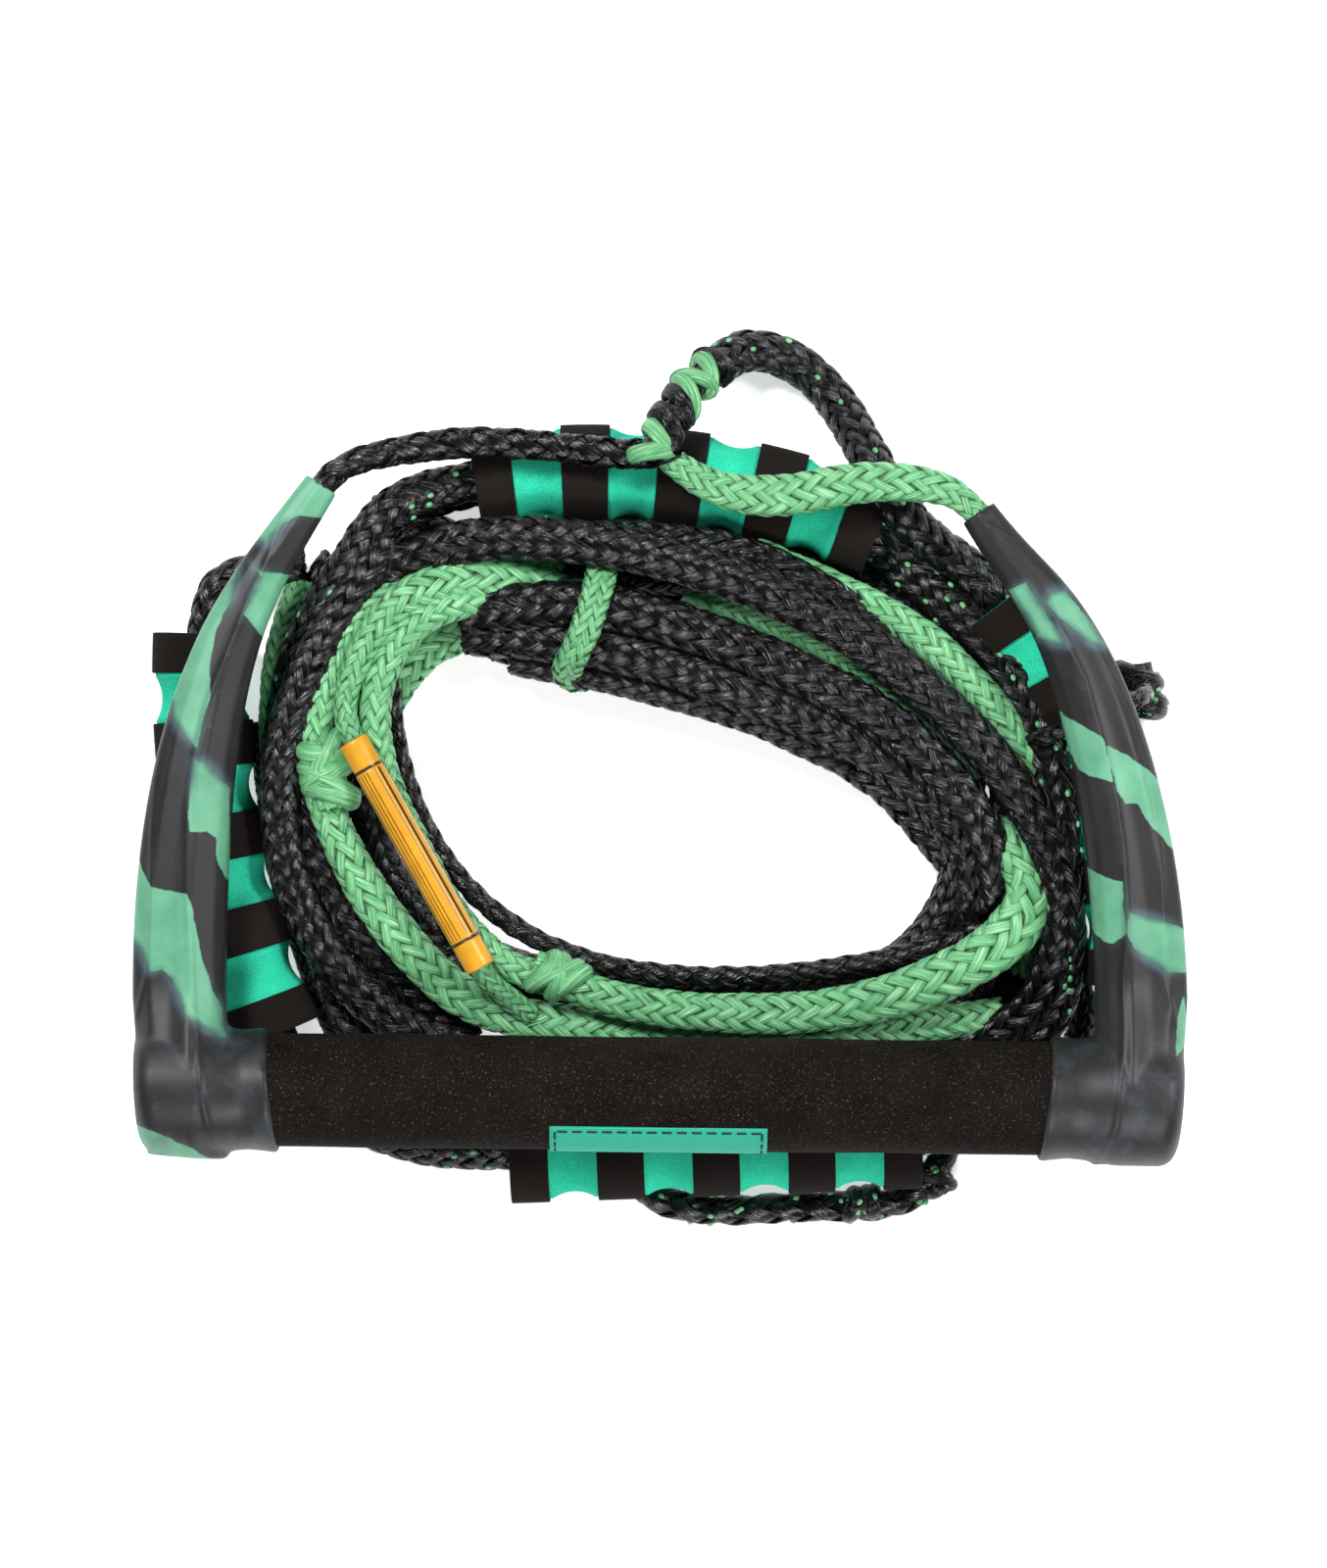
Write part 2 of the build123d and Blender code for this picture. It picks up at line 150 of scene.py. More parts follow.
class Nodes:
    """A new material's node tree, with short calls to add and join nodes."""

    def __init__(self, name, colour, roughness, specular=0.5):
        self.material = bpy.data.materials.new(name)
        self.material.use_nodes = True
        self.material.diffuse_color = (*colour, 1.0)
        self.tree = self.material.node_tree
        self.inputs = self.tree.nodes["Principled BSDF"].inputs
        self.inputs["Base Color"].default_value = (*colour, 1.0)
        self.inputs["Roughness"].default_value = roughness
        self.inputs["Specular IOR Level"].default_value = specular

    def add(self, kind, **settings):
        """A node, with its own settings and its inputs given by name."""
        node = self.tree.nodes.new("ShaderNode" + kind)
        for key, value in settings.items():
            if hasattr(node, key):
                setattr(node, key, value)
            else:
                node.inputs[key.replace("_", " ")].default_value = value
        return node

    def join(self, output, target):
        self.tree.links.new(output, target)

    def position(self):
        return self.add("TexCoord").outputs["Object"]

    def attribute(self, name, output="Fac"):
        return self.add("Attribute", attribute_name=name).outputs[output]

    def noise(self, vector, scale, detail=3.0, roughness=0.6):
        node = self.add("TexNoise", Scale=scale, Detail=detail, Roughness=roughness)
        self.join(vector, node.inputs["Vector"])
        return node.outputs["Fac"]

    def ramp(self, value, stops):
        node = self.add("ValToRGB")
        ramp = node.color_ramp
        while len(ramp.elements) < len(stops):
            ramp.elements.new(0.5)
        for element, (position, colour) in zip(ramp.elements, stops):
            element.position = position
            element.color = (*colour, 1.0)
        self.join(value, node.inputs["Fac"])
        return node.outputs["Color"]

    def math(self, operation, first, second):
        node = self.add("Math", operation=operation)
        for index, value in enumerate((first, second)):
            if isinstance(value, (int, float)):
                node.inputs[index].default_value = value
            else:
                self.join(value, node.inputs[index])
        return node.outputs["Value"]

    def mix(self, factor, first, second, blend="MIX"):
        node = self.add("Mix", data_type="RGBA", blend_type=blend)
        for index, value in ((0, factor), (6, first), (7, second)):
            socket = node.inputs[index]
            if isinstance(value, (int, float)):
                socket.default_value = value
            elif isinstance(value, tuple):
                socket.default_value = (*value, 1.0)
            else:
                self.join(value, socket)
        return node.outputs[2]

    def colour(self, output):
        self.join(output, self.inputs["Base Color"])

    def bump(self, height, distance, strength=1.0):
        node = self.add("Bump", Distance=distance, Strength=strength)
        self.join(height, node.inputs["Height"])
        self.join(node.outputs["Normal"], self.inputs["Normal"])

    def roughness(self, value, low, high):
        node = self.add("MapRange", To_Min=low, To_Max=high)
        self.join(value, node.inputs["Value"])
        self.join(node.outputs["Result"], self.inputs["Roughness"])


def strand_material(name, dark, middle, light, roughness, specular):
    """A flat strand of polyethylene filaments, streaked along its length; the dark and light streak colours
    are partly painted shade and painted highlight, and painted shade darkens the strands where they pass
    under others.
    """
    n = Nodes(name, middle, roughness, specular)
    filaments = n.noise(n.attribute("lay", "Vector"), 1.0, 2.0, 0.55)
    patches = n.noise(n.position(), 90.0, 2.0)
    # The filament streak colours: the light one is partly a painted highlight, the dark one partly painted
    # shade.
    streak_tones_with_painted_light = n.ramp(filaments, [(0.30, dark), (0.54, middle), (0.76, light)])
    worn = n.mix(n.math("MULTIPLY", patches, 0.3), streak_tones_with_painted_light, middle)
    # Painted shade: where strands pass under others, and on their inner faces and side edges, the colour
    # runs towards black and the reflection is turned down.
    sunk = n.attribute("sunk")
    n.colour(n.mix(n.math("MULTIPLY", sunk, 0.92), worn, (0, 0, 0)))
    n.join(n.math("MULTIPLY", n.math("SUBTRACT", 1.0, sunk), specular), n.inputs["Specular IOR Level"])
    n.bump(filaments, 0.0006, 1.0)
    n.roughness(patches, roughness - 0.08, roughness + 0.12)
    return n.material


def foam_material(name, colour, fleck=None, roughness=0.9, grain=2600.0, flecks=0.0, bump=0.00012,
                  contrast=0.3):
    """Closed-cell foam: a fine even grain, and pale flecks on the grip."""
    n = Nodes(name, colour, roughness, 0.08)
    position = n.position()
    cells = n.noise(position, grain, 2.0, 0.7)
    clouds = n.noise(position, 60.0, 3.0)
    dark = tuple((1 - contrast) * c for c in colour)
    light = tuple(min(1.0, (1 + contrast) * c) for c in colour)
    base = n.ramp(n.math("ADD", n.math("MULTIPLY", cells, 0.7), n.math("MULTIPLY", clouds, 0.3)),
                  [(0.38, dark), (0.5, colour), (0.62, light)])
    if flecks:
        grains = n.noise(position, grain * 0.62, 1.0, 0.5)
        spots = n.ramp(grains, [(0.66 - flecks, (0, 0, 0)), (0.70 - flecks, (1, 1, 1))])
        base = n.mix(n.math("MULTIPLY", spots, 0.6), base, fleck)
    n.colour(base)
    n.bump(cells, bump, 0.8)
    return n.material


ARM_GREEN = (0.095, 0.315, 0.185)
ARM_GREEN_PALE = (0.145, 0.42, 0.26)
ARM_BLACK = (0.0125, 0.0122, 0.0130)
ARM_BLUE = (0.055, 0.085, 0.12)
ARM_BLOOM = (0.065, 0.08, 0.10)


def arm_material():
    """Satin moulded rubber, green run into black with bluish feathered edges."""
    n = Nodes("arm_marbled_rubber", ARM_BLACK, 0.5, 0.38)
    patch, feather, bloom = (n.attribute(key) for key in ("patch", "feather", "bloom"))
    position = n.position()
    wander = n.math("MULTIPLY", n.math("SUBTRACT", n.noise(position, 130.0, 3.0), 0.5), 0.09)
    edge = n.math("ADD", patch, wander)
    clouds = n.noise(position, 55.0, 3.0)
    green = n.ramp(clouds, [(0.35, ARM_GREEN), (0.65, ARM_GREEN_PALE)])
    black = n.ramp(clouds, [(0.35, ARM_BLACK), (0.66, tuple(1.5 * c for c in ARM_BLACK))])
    soft = n.ramp(edge, [(0.42, (0, 0, 0)), (0.58, (1, 1, 1))])
    crisp = n.ramp(edge, [(0.492, (0, 0, 0)), (0.508, (1, 1, 1))])
    amount = n.mix(feather, crisp, soft)
    halo = n.ramp(edge, [(0.36, (0, 0, 0)), (0.47, (1, 1, 1)), (0.56, (0, 0, 0))])
    body = n.mix(amount, black, green)
    body = n.mix(n.math("MULTIPLY", halo, n.math("MULTIPLY", feather, 0.85)), body, ARM_BLUE)
    smoke = n.ramp(n.noise(position, 90.0, 5.0, 0.65), [(0.48, (0, 0, 0)), (0.68, (1, 1, 1))])
    smoked = n.math("MULTIPLY", n.math("MULTIPLY", smoke, bloom), 0.4)
    body = n.mix(smoked, body, ARM_BLOOM)
    n.colour(body)
    n.bump(n.noise(position, 1500.0, 3.0), 0.00005, 0.5)
    n.roughness(clouds, 0.42, 0.54)
    return n.material


def sleeve_material(name, colour, line):
    """Amber heat-shrunk sleeve, with plain dark lines down it in place of print."""
    n = Nodes(name, colour, 0.32)
    printed = n.attribute("print")
    clouds = n.noise(n.position(), 120.0, 2.0)
    amber = n.ramp(clouds, [(0.35, tuple(0.8 * c for c in colour)), (0.65, colour)])
    n.colour(n.mix(printed, amber, line))
    n.bump(clouds, 0.0002, 0.3)
    return n.material


def weave_material(name, colour, dark):
    """Woven label fabric."""
    n = Nodes(name, colour, 0.75, 0.3)
    position = n.position()
    waves = [n.add("TexWave", bands_direction=way, Scale=420.0, Distortion=0.6) for way in "XY"]
    for wave in waves:
        n.join(position, wave.inputs["Vector"])
    threads = n.math("MULTIPLY", *(wave.outputs["Fac"] for wave in waves))
    clouds = n.noise(position, 300.0)
    woven = n.ramp(threads, [(0.0, dark), (0.5, colour)])
    n.colour(n.mix(n.math("MULTIPLY", clouds, 0.35), woven, colour))
    n.bump(threads, 0.0001, 0.6)
    return n.material


def plain_material(name, colour, roughness, metallic=0.0):
    """Moulded plastic or drawn metal, faintly mottled."""
    n = Nodes(name, colour, roughness)
    n.inputs["Metallic"].default_value = metallic
    clouds = n.noise(n.position(), 220.0, 4.0)
    n.colour(n.ramp(clouds, [(0.3, tuple(0.75 * c for c in colour)), (0.7, colour)]))
    n.roughness(clouds, roughness - 0.05, roughness + 0.1)
    return n.material


MATERIALS = {
    # Rope colours: the dark and light streak colours are partly painted shade and painted highlight, and
    # the darker cores are painted shade seen between the strands.
    "black": strand_material("rope_black", (0.0003, 0.0003, 0.0004), (0.0013, 0.0013, 0.0015),
                             (0.050, 0.050, 0.054), 0.21, 0.48),
    "green": strand_material("rope_green", (0.045, 0.25, 0.085), (0.17, 0.54, 0.235),
                             (0.52, 0.86, 0.50), 0.34, 0.65),
    "black_core": plain_material("rope_black_core", (0.002, 0.002, 0.002), 0.8),
    "green_core": plain_material("rope_green_core", (0.018, 0.11, 0.035), 0.8),
    "grip": foam_material("grip_foam", (0.0080, 0.0060, 0.0048), (0.085, 0.070, 0.056), 0.85, 2300.0, 0.01,
                          0.0003, 0.75),
    "foam_green": foam_material("float_green_foam", (0.028, 0.56, 0.35)),
    "foam_black": foam_material("float_black_foam", (0.0125, 0.0100, 0.0088)),
    "arm": arm_material(),
    "sleeve": sleeve_material("amber_sleeve", (0.80, 0.37, 0.02), (0.035, 0.022, 0.008)),
    "label": weave_material("label_cloth", (0.035, 0.50, 0.34), (0.015, 0.30, 0.20)),
    "label_dark": weave_material("label_border", (0.012, 0.03, 0.03), (0.006, 0.012, 0.012)),
    "metal": plain_material("tube_aluminium", (0.72, 0.73, 0.75), 0.3, 1.0),
    "plastic": plain_material("plug_plastic", (0.03, 0.03, 0.03), 0.45),
}


# ---- mesh helpers

def place(points):
    """Millimetres to metres."""
    return np.asarray(points, float) * MM


def shown(name, data):
    """A new object in the scene."""
    thing = bpy.data.objects.new(name, data)
    bpy.context.scene.collection.objects.link(thing)
    return thing


class Parts:
    """The points, faces, face materials and point values of a mesh made of parts."""

    def __init__(self):
        self.points, self.faces, self.slots, self.values, self.count = [], [], [], {}, 0

    def add(self, points, faces, slot=0, **values):
        """A part: faces are groups with one count of corners each, numbered from 0."""
        for group in faces:
            self.faces.append(np.asarray(group, np.int32) + self.count)
            self.slots.append(np.full(len(group), slot, np.int32))
        for key, value in values.items():
            self.values.setdefault(key, []).append(value)
        self.points.append(np.reshape(points, (-1, 3)))
        self.count += len(self.points[-1])

    def build(self, name, *finishes):
        """The smooth-shaded mesh object, points in metres."""
        mesh = bpy.data.meshes.new(name)
        corners = np.concatenate([group.ravel() for group in self.faces])
        counts = np.concatenate([np.full(len(group), group.shape[1]) for group in self.faces])
        mesh.vertices.add(self.count)
        mesh.vertices.foreach_set("co", np.concatenate(self.points).astype(np.float32).ravel())
        mesh.loops.add(len(corners))
        mesh.loops.foreach_set("vertex_index", corners)
        mesh.polygons.add(len(counts))
        starts = np.concatenate([[0], np.cumsum(counts)[:-1]])
        mesh.polygons.foreach_set("loop_start", starts.astype(np.int32))
        mesh.update(calc_edges=True)
        for key, values in self.values.items():
            point_values(mesh, key, np.concatenate(values))
        for finish in finishes:
            mesh.materials.append(MATERIALS[finish])
        mesh.polygons.foreach_set("material_index", np.concatenate(self.slots))
        mesh.polygons.foreach_set("use_smooth", np.ones(len(counts), bool))
        mesh.update()
        return shown(name, mesh)


def point_values(mesh, key, values):
    """Keeps a number or a vector for each point, for the materials to read."""
    vector = values.ndim == 2
    layer = mesh.attributes.new(key, "FLOAT_VECTOR" if vector else "FLOAT", "POINT")
    layer.data.foreach_set("vector" if vector else "value", values.astype(np.float32).ravel())


def declare(piece, body, node, slot):
    """What a piece rides on, the CAD node it stands for, and its material slot, which is not used."""
    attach(piece, body)
    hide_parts(node)
    return piece


def hoops(centres, across, up, corners=96):
    """Rings of points round centres, an ellipse through the tips of two vectors each."""
    spin = np.linspace(0, 2 * math.pi, corners, endpoint=False)[:, None]
    return centres[:, None] + across[:, None] * np.cos(spin) + up[:, None] * np.sin(spin)


def ring_faces(rings, closed=True):
    """The faces between rings of points, closed both ways or with a face on each end."""
    grid = np.arange(rings.size // 3).reshape(rings.shape[:2])
    after = np.roll(grid, -1, axis=1)
    quads = np.stack([grid, after, np.roll(after, -1, axis=0), np.roll(grid, -1, axis=0)], -1)
    if closed:
        return [quads.reshape(-1, 4)]
    return quads[:-1].reshape(-1, 4), np.stack([grid[0, ::-1], grid[-1]])


def unit(vectors):
    return vectors / np.maximum(np.linalg.norm(vectors, axis=-1, keepdims=True), 1e-12)


def route_line(points):
    """The points along a smooth NURBS curve with these control points, in metres."""
    curve = bpy.data.curves.new("route", "CURVE")
    curve.dimensions = "3D"
    curve.resolution_u = 16
    spline = curve.splines.new("NURBS")
    spline.points.add(len(points) - 1)
    for control, point in zip(spline.points, points):
        control.co = (*place(point), 1.0)
    spline.order_u = 3
    spline.use_endpoint_u = True
    holder = bpy.data.objects.new("route", curve)
    mesh = bpy.data.meshes.new_from_object(holder)
    line = np.array([vertex.co for vertex in mesh.vertices], float)
    bpy.data.meshes.remove(mesh)
    bpy.data.objects.remove(holder)
    bpy.data.curves.remove(curve)
    return line


def spaced(line, step):
    """The line again with evenly spaced points, and each one's distance along it."""
    along = np.concatenate([[0], np.cumsum(np.linalg.norm(np.diff(line, axis=0), axis=1))])
    at = np.linspace(0, along[-1], max(4, math.ceil(along[-1] / step) + 1))
    return np.stack([np.interp(at, along, axis) for axis in line.T], axis=1), at


def line_frames(line):
    """The heading, the flat side's direction and the upward direction at each point of a line."""
    heading = unit(np.gradient(line, axis=0))
    side = np.cross(heading, UP)
    last = side[np.argmax(np.linalg.norm(side, axis=1) > 0.35)]
    for index in range(len(line)):
        if np.linalg.norm(side[index]) < 0.35:
            side[index] = last - heading[index] * (last @ heading[index])
        if side[index] @ last < 0:
            side[index] = -side[index]
        side[index] = unit(side[index])
        blend = side[index] * 0.25 + unit(last) * 0.75
        side[index] = unit(blend - heading[index] * (blend @ heading[index]))
        last = side[index]
    return heading, side, np.cross(side, heading)


def even_angles(turns, ratio):
    """Angles round an ellipse for equal steps along its edge; ratio is its height over its width."""
    fine = np.linspace(0, 2 * math.pi, 361)
    edge = np.concatenate([[0], np.cumsum(np.hypot(np.diff(np.cos(fine)), ratio * np.diff(np.sin(fine))))])
    whole = np.floor(turns)
    return np.interp(turns - whole, edge / edge[-1], fine) + whole * 2 * math.pi


STRAND_CORNERS = 8
CORE_CORNERS = 16
CORE_EVERY = 3
BRAID_STEP = 1.25 * MM
BRAID_ANGLE = math.radians(33)
BUNDLE_ANGLE = math.radians(12)
LAY_TURN = 3.6
LAY_LENGTH = 8 * MM
FLECK_HALF_LENGTH = 1.25 * MM
FLECK_HALF_WIDTH = 0.9 * MM


def along_values(values, at):
    """Values given evenly along a line, or one value, at each of its points."""
    values = np.atleast_1d(np.asarray(values, float))
    return np.interp(at / at[-1], np.linspace(0, 1, len(values)), values)


def add_braid(parts, line, width, height, per_way=8, crossing=True, flecks=0.0, seed=0):
    """Adds a hollow braid, or a bundle if it isn't crossing, strand by strand round a dark core."""
    line, at = spaced(line, BRAID_STEP)
    half_w = along_values(width, at) * MM / 2
    half_h = along_values(height, at) * MM / 2
    heading, side, up = line_frames(line)
    ratio = float((half_h / half_w).mean())
    draw = np.random.default_rng(1000 + seed)
    places = np.arange(0, at[-1] + 12 * MM, 6 * MM)

    def wander(amount):
        return np.interp(at, places, draw.normal(0, amount, len(places)))

    half_w = half_w * (1 + wander(0.022))
    round_it = 2 * math.pi * np.sqrt((half_w ** 2 + half_h ** 2) / 2)
    angle = BRAID_ANGLE if crossing else BUNDLE_ANGLE
    turns = np.concatenate([[0], np.cumsum(np.diff(at) * math.tan(angle) / round_it[1:])])
    strand_w = 0.5 * round_it / per_way * math.cos(angle) * (0.97 if crossing else 1.12)
    thin, flat = (0.37, 0.28) if crossing else (0.55, 0.4)
    strand_t = np.minimum(thin * strand_w, flat * half_h)
    around = np.linspace(0, 2 * math.pi, STRAND_CORNERS, endpoint=False)

    def surface(phase, inset, of=slice(None)):
        """Points at these angles, this far in from the braid's surface, and their outward directions."""
        w, h = half_w[of, None], half_h[of, None]
        x, y = side[of] * np.cos(phase), up[of] * np.sin(phase)
        return line[of] + x * (w - inset) + y * (h - inset), unit(x / w + y / h)

    strands, lays, painted_shade_rows = [], [], []
    for way in (1, -1) if crossing else (1,):
        for strand in range(per_way):
            phase = strand / per_way + way * turns + 0.013 * seed + wander(0.10 / per_way)
            phase = even_angles(phase, ratio)[:, None]
            rise = np.full(len(line), 0.6)
            if crossing:
                step = 2 * strand + way * 2 * per_way * turns
                rise = way * np.sin(math.pi / 2 * (step + 0.5)) * math.sqrt(1.6) + wander(0.14)
            inset = strand_t * (1.0 + 0.68 * (1 - np.clip(rise, -1.2, 1.1)))
            centre, outward = surface(phase, inset[:, None])
            run = unit(np.gradient(centre, axis=0))
            across = unit(np.cross(run, outward))
            outward = np.cross(across, run)
            strands.append(hoops(centre, across * strand_w[:, None], outward * strand_t[:, None],
                                 STRAND_CORNERS))
            along = at / LAY_LENGTH + 3.7 * strand + 41 * (way < 0) + 5.3 * seed
            lays.append(hoops(np.outer(along, UP), *(LAY_TURN * np.eye(3)[[[0], [1]]]), STRAND_CORNERS))
            # Painted shade for each point: darker where a strand passes under its neighbours, on its inner
            # face and at its side edges.
            sunk = 1.02 - 0.45 * (np.clip(rise, -1, 1)[:, None] + 1) - 0.38 * np.sin(around) \
                + 0.16 * np.abs(np.cos(around)) ** 3
            painted_shade_rows.append(np.clip(sunk, 0, 1))
    points = len(line) * STRAND_CORNERS
    faces = [np.concatenate([group + index * points for index in range(len(strands))])
             for group in ring_faces(strands[0], False)]
    parts.add(strands, faces, lay=np.reshape(lays, (-1, 3)), sunk=np.ravel(painted_shade_rows))
    # The dark core is seen through the gaps between the strands: painted shade inside the braid.
    depth = (2.0 if crossing else 1.2) * strand_t
    core = hoops(line[::CORE_EVERY], (side * (half_w - depth)[:, None])[::CORE_EVERY],
                 (up * (half_h - depth)[:, None])[::CORE_EVERY], CORE_CORNERS)
    points = len(core) * CORE_CORNERS
    parts.add(core, ring_faces(core, False), 1, lay=np.zeros((points, 3)), sunk=np.ones(points))
    spots = int(flecks * at[-1] / MM)
    where = draw.integers(4, len(line) - 4, spots)
    lattice = draw.integers(0, 4 * per_way, spots) / (4 * per_way)
    phase = even_angles(lattice + turns[where], ratio)[:, None]
    centre, out = surface(phase, 0.55 * strand_t[where, None], where)
    across = unit(np.cross(heading[where], out))
    levels = np.linspace(-0.98, 0.98, 5)[:, None]
    swell = np.sqrt(1 - levels ** 2)
    for index, spot in enumerate(where):
        dot = hoops(centre[index] + out[index] * levels * strand_t[spot] * 1.15,
                    heading[spot] * swell * FLECK_HALF_LENGTH, across[index] * swell * FLECK_HALF_WIDTH,
                    STRAND_CORNERS)
        lay = np.repeat(dot.mean((0, 1))[None] * 300, dot.size // 3, 0)
        parts.add(dot, ring_faces(dot, False), 2, lay=lay, sunk=np.zeros(dot.size // 3))


def rope_piece(name, parts, colour):
    """One piece of braids or bundles of one colour, their cores and their flecks."""
    return parts.build(name, colour, colour + "_core", "green")


# ---- ropes

ROPE_SLOTS = {"black": "rope_black", "green": "rope_green"}

# Each line of the rope as CAD has it, with more points where it is seen
LINES = {
    "tow_line": dict(route=[(16, 147, 22), (23, 155, 14), (36, 155.5, 9), (49, 148.5, 8.5), (58, 138, 12),
        (64, 126.5, 22), (69.5, 114.5, 33), (77.5, 101, 34), (87.5, 90.5, 27), (97, 86, 20),
        (110, 72.8, 16.5), (154.5, 15.6, 16.5), (155.9, -75, 16.5), (140, -92, 13), (99, -105.5, 16.5),
        (17.3, -108.4, 16.5)], width=14.2, height=10.0, flecks=0.16),
    "tail_line": dict(route=[(17.3, -108.4, 16.5), (-66, -111.4, 16.5), (-93, -105, 12.5),
        (-119, -94.3, 16.5), (-155, -8.7, 16.5), (-151.7, 72, 16.5), (-141, 82, 13), (-119, 84, 12)],
        width=13.0, height=10.0, flecks=0.10),
    "inner_line": dict(route=[(-104, 70, 12), (-98.5, 91, 15), (-83, 107.4, 16.5), (7, 121.8, 16.5),
        (77.5, 92, 16.5), (84.5, 81, 9.5)], width=14.2, height=10.0, flecks=0.35),
    "right_side_line": dict(route=[(121, 25, 31), (126, 27.5, 36), (138, 32.5, 36.6), (152.5, 37.5, 35),
        (160, 41.5, 27), (159, 42.4, 14)], width=6.2, height=5.4, flecks=0.05, far_end="knot", per_way=4),
    "lower_side_line": dict(route=[(98, -84, 4.6), (96.5, -104, 4.6), (90, -121, 4.7), (76, -129.5, 4.7),
        (50, -129, 4.7), (24, -131, 4.7), (4, -129.5, 4.7), (-8, -123, 4.7), (-16, -112, 4.7)],
        width=10.0, height=8.6, flecks=0.30, per_way=4),
}

# The bridle's legs, from inside the arm tips to the splice
LEGS = {
    "left_leg": dict(route=[(-115.3, 101.8, 50), (-107.4, 112.7, 50), (-96, 117.4, 48.6),
        (-80, 120.8, 44.8), (-62, 123, 41.8), (-36, 121.6, 40.5), (-14, 118.6, 41.5), (-1, 119, 44),
        (4.5, 122.5, 44)], width=[8.2, 8.6, 9.6, 10.4, 9.8, 9.6, 9.8, 9.0], height=[7.4, 6.4, 5.6],
        blend=((-113.0, 105.0, 50.0), (-92.0, 118.6, 47.0)), per_way=4),
    "right_leg": dict(route=[(107.5, 92.3, 50), (97.8, 104.9, 50), (84.5, 108.6, 51.5), (70, 109.6, 51),
        (55, 108, 46.5), (38, 104.6, 42.5), (20, 106.4, 41.5), (7, 113, 41), (-3, 121.5, 40)],
        width=[8.4, 9.4, 12.0, 13.4, 14.0, 14.0, 12.5, 10.0, 8.0], height=[7.0, 7.0, 5.6],
        colour="green", blend=((104.5, 96.5, 50.0), (80.0, 109.2, 51.4)), per_way=8),
}

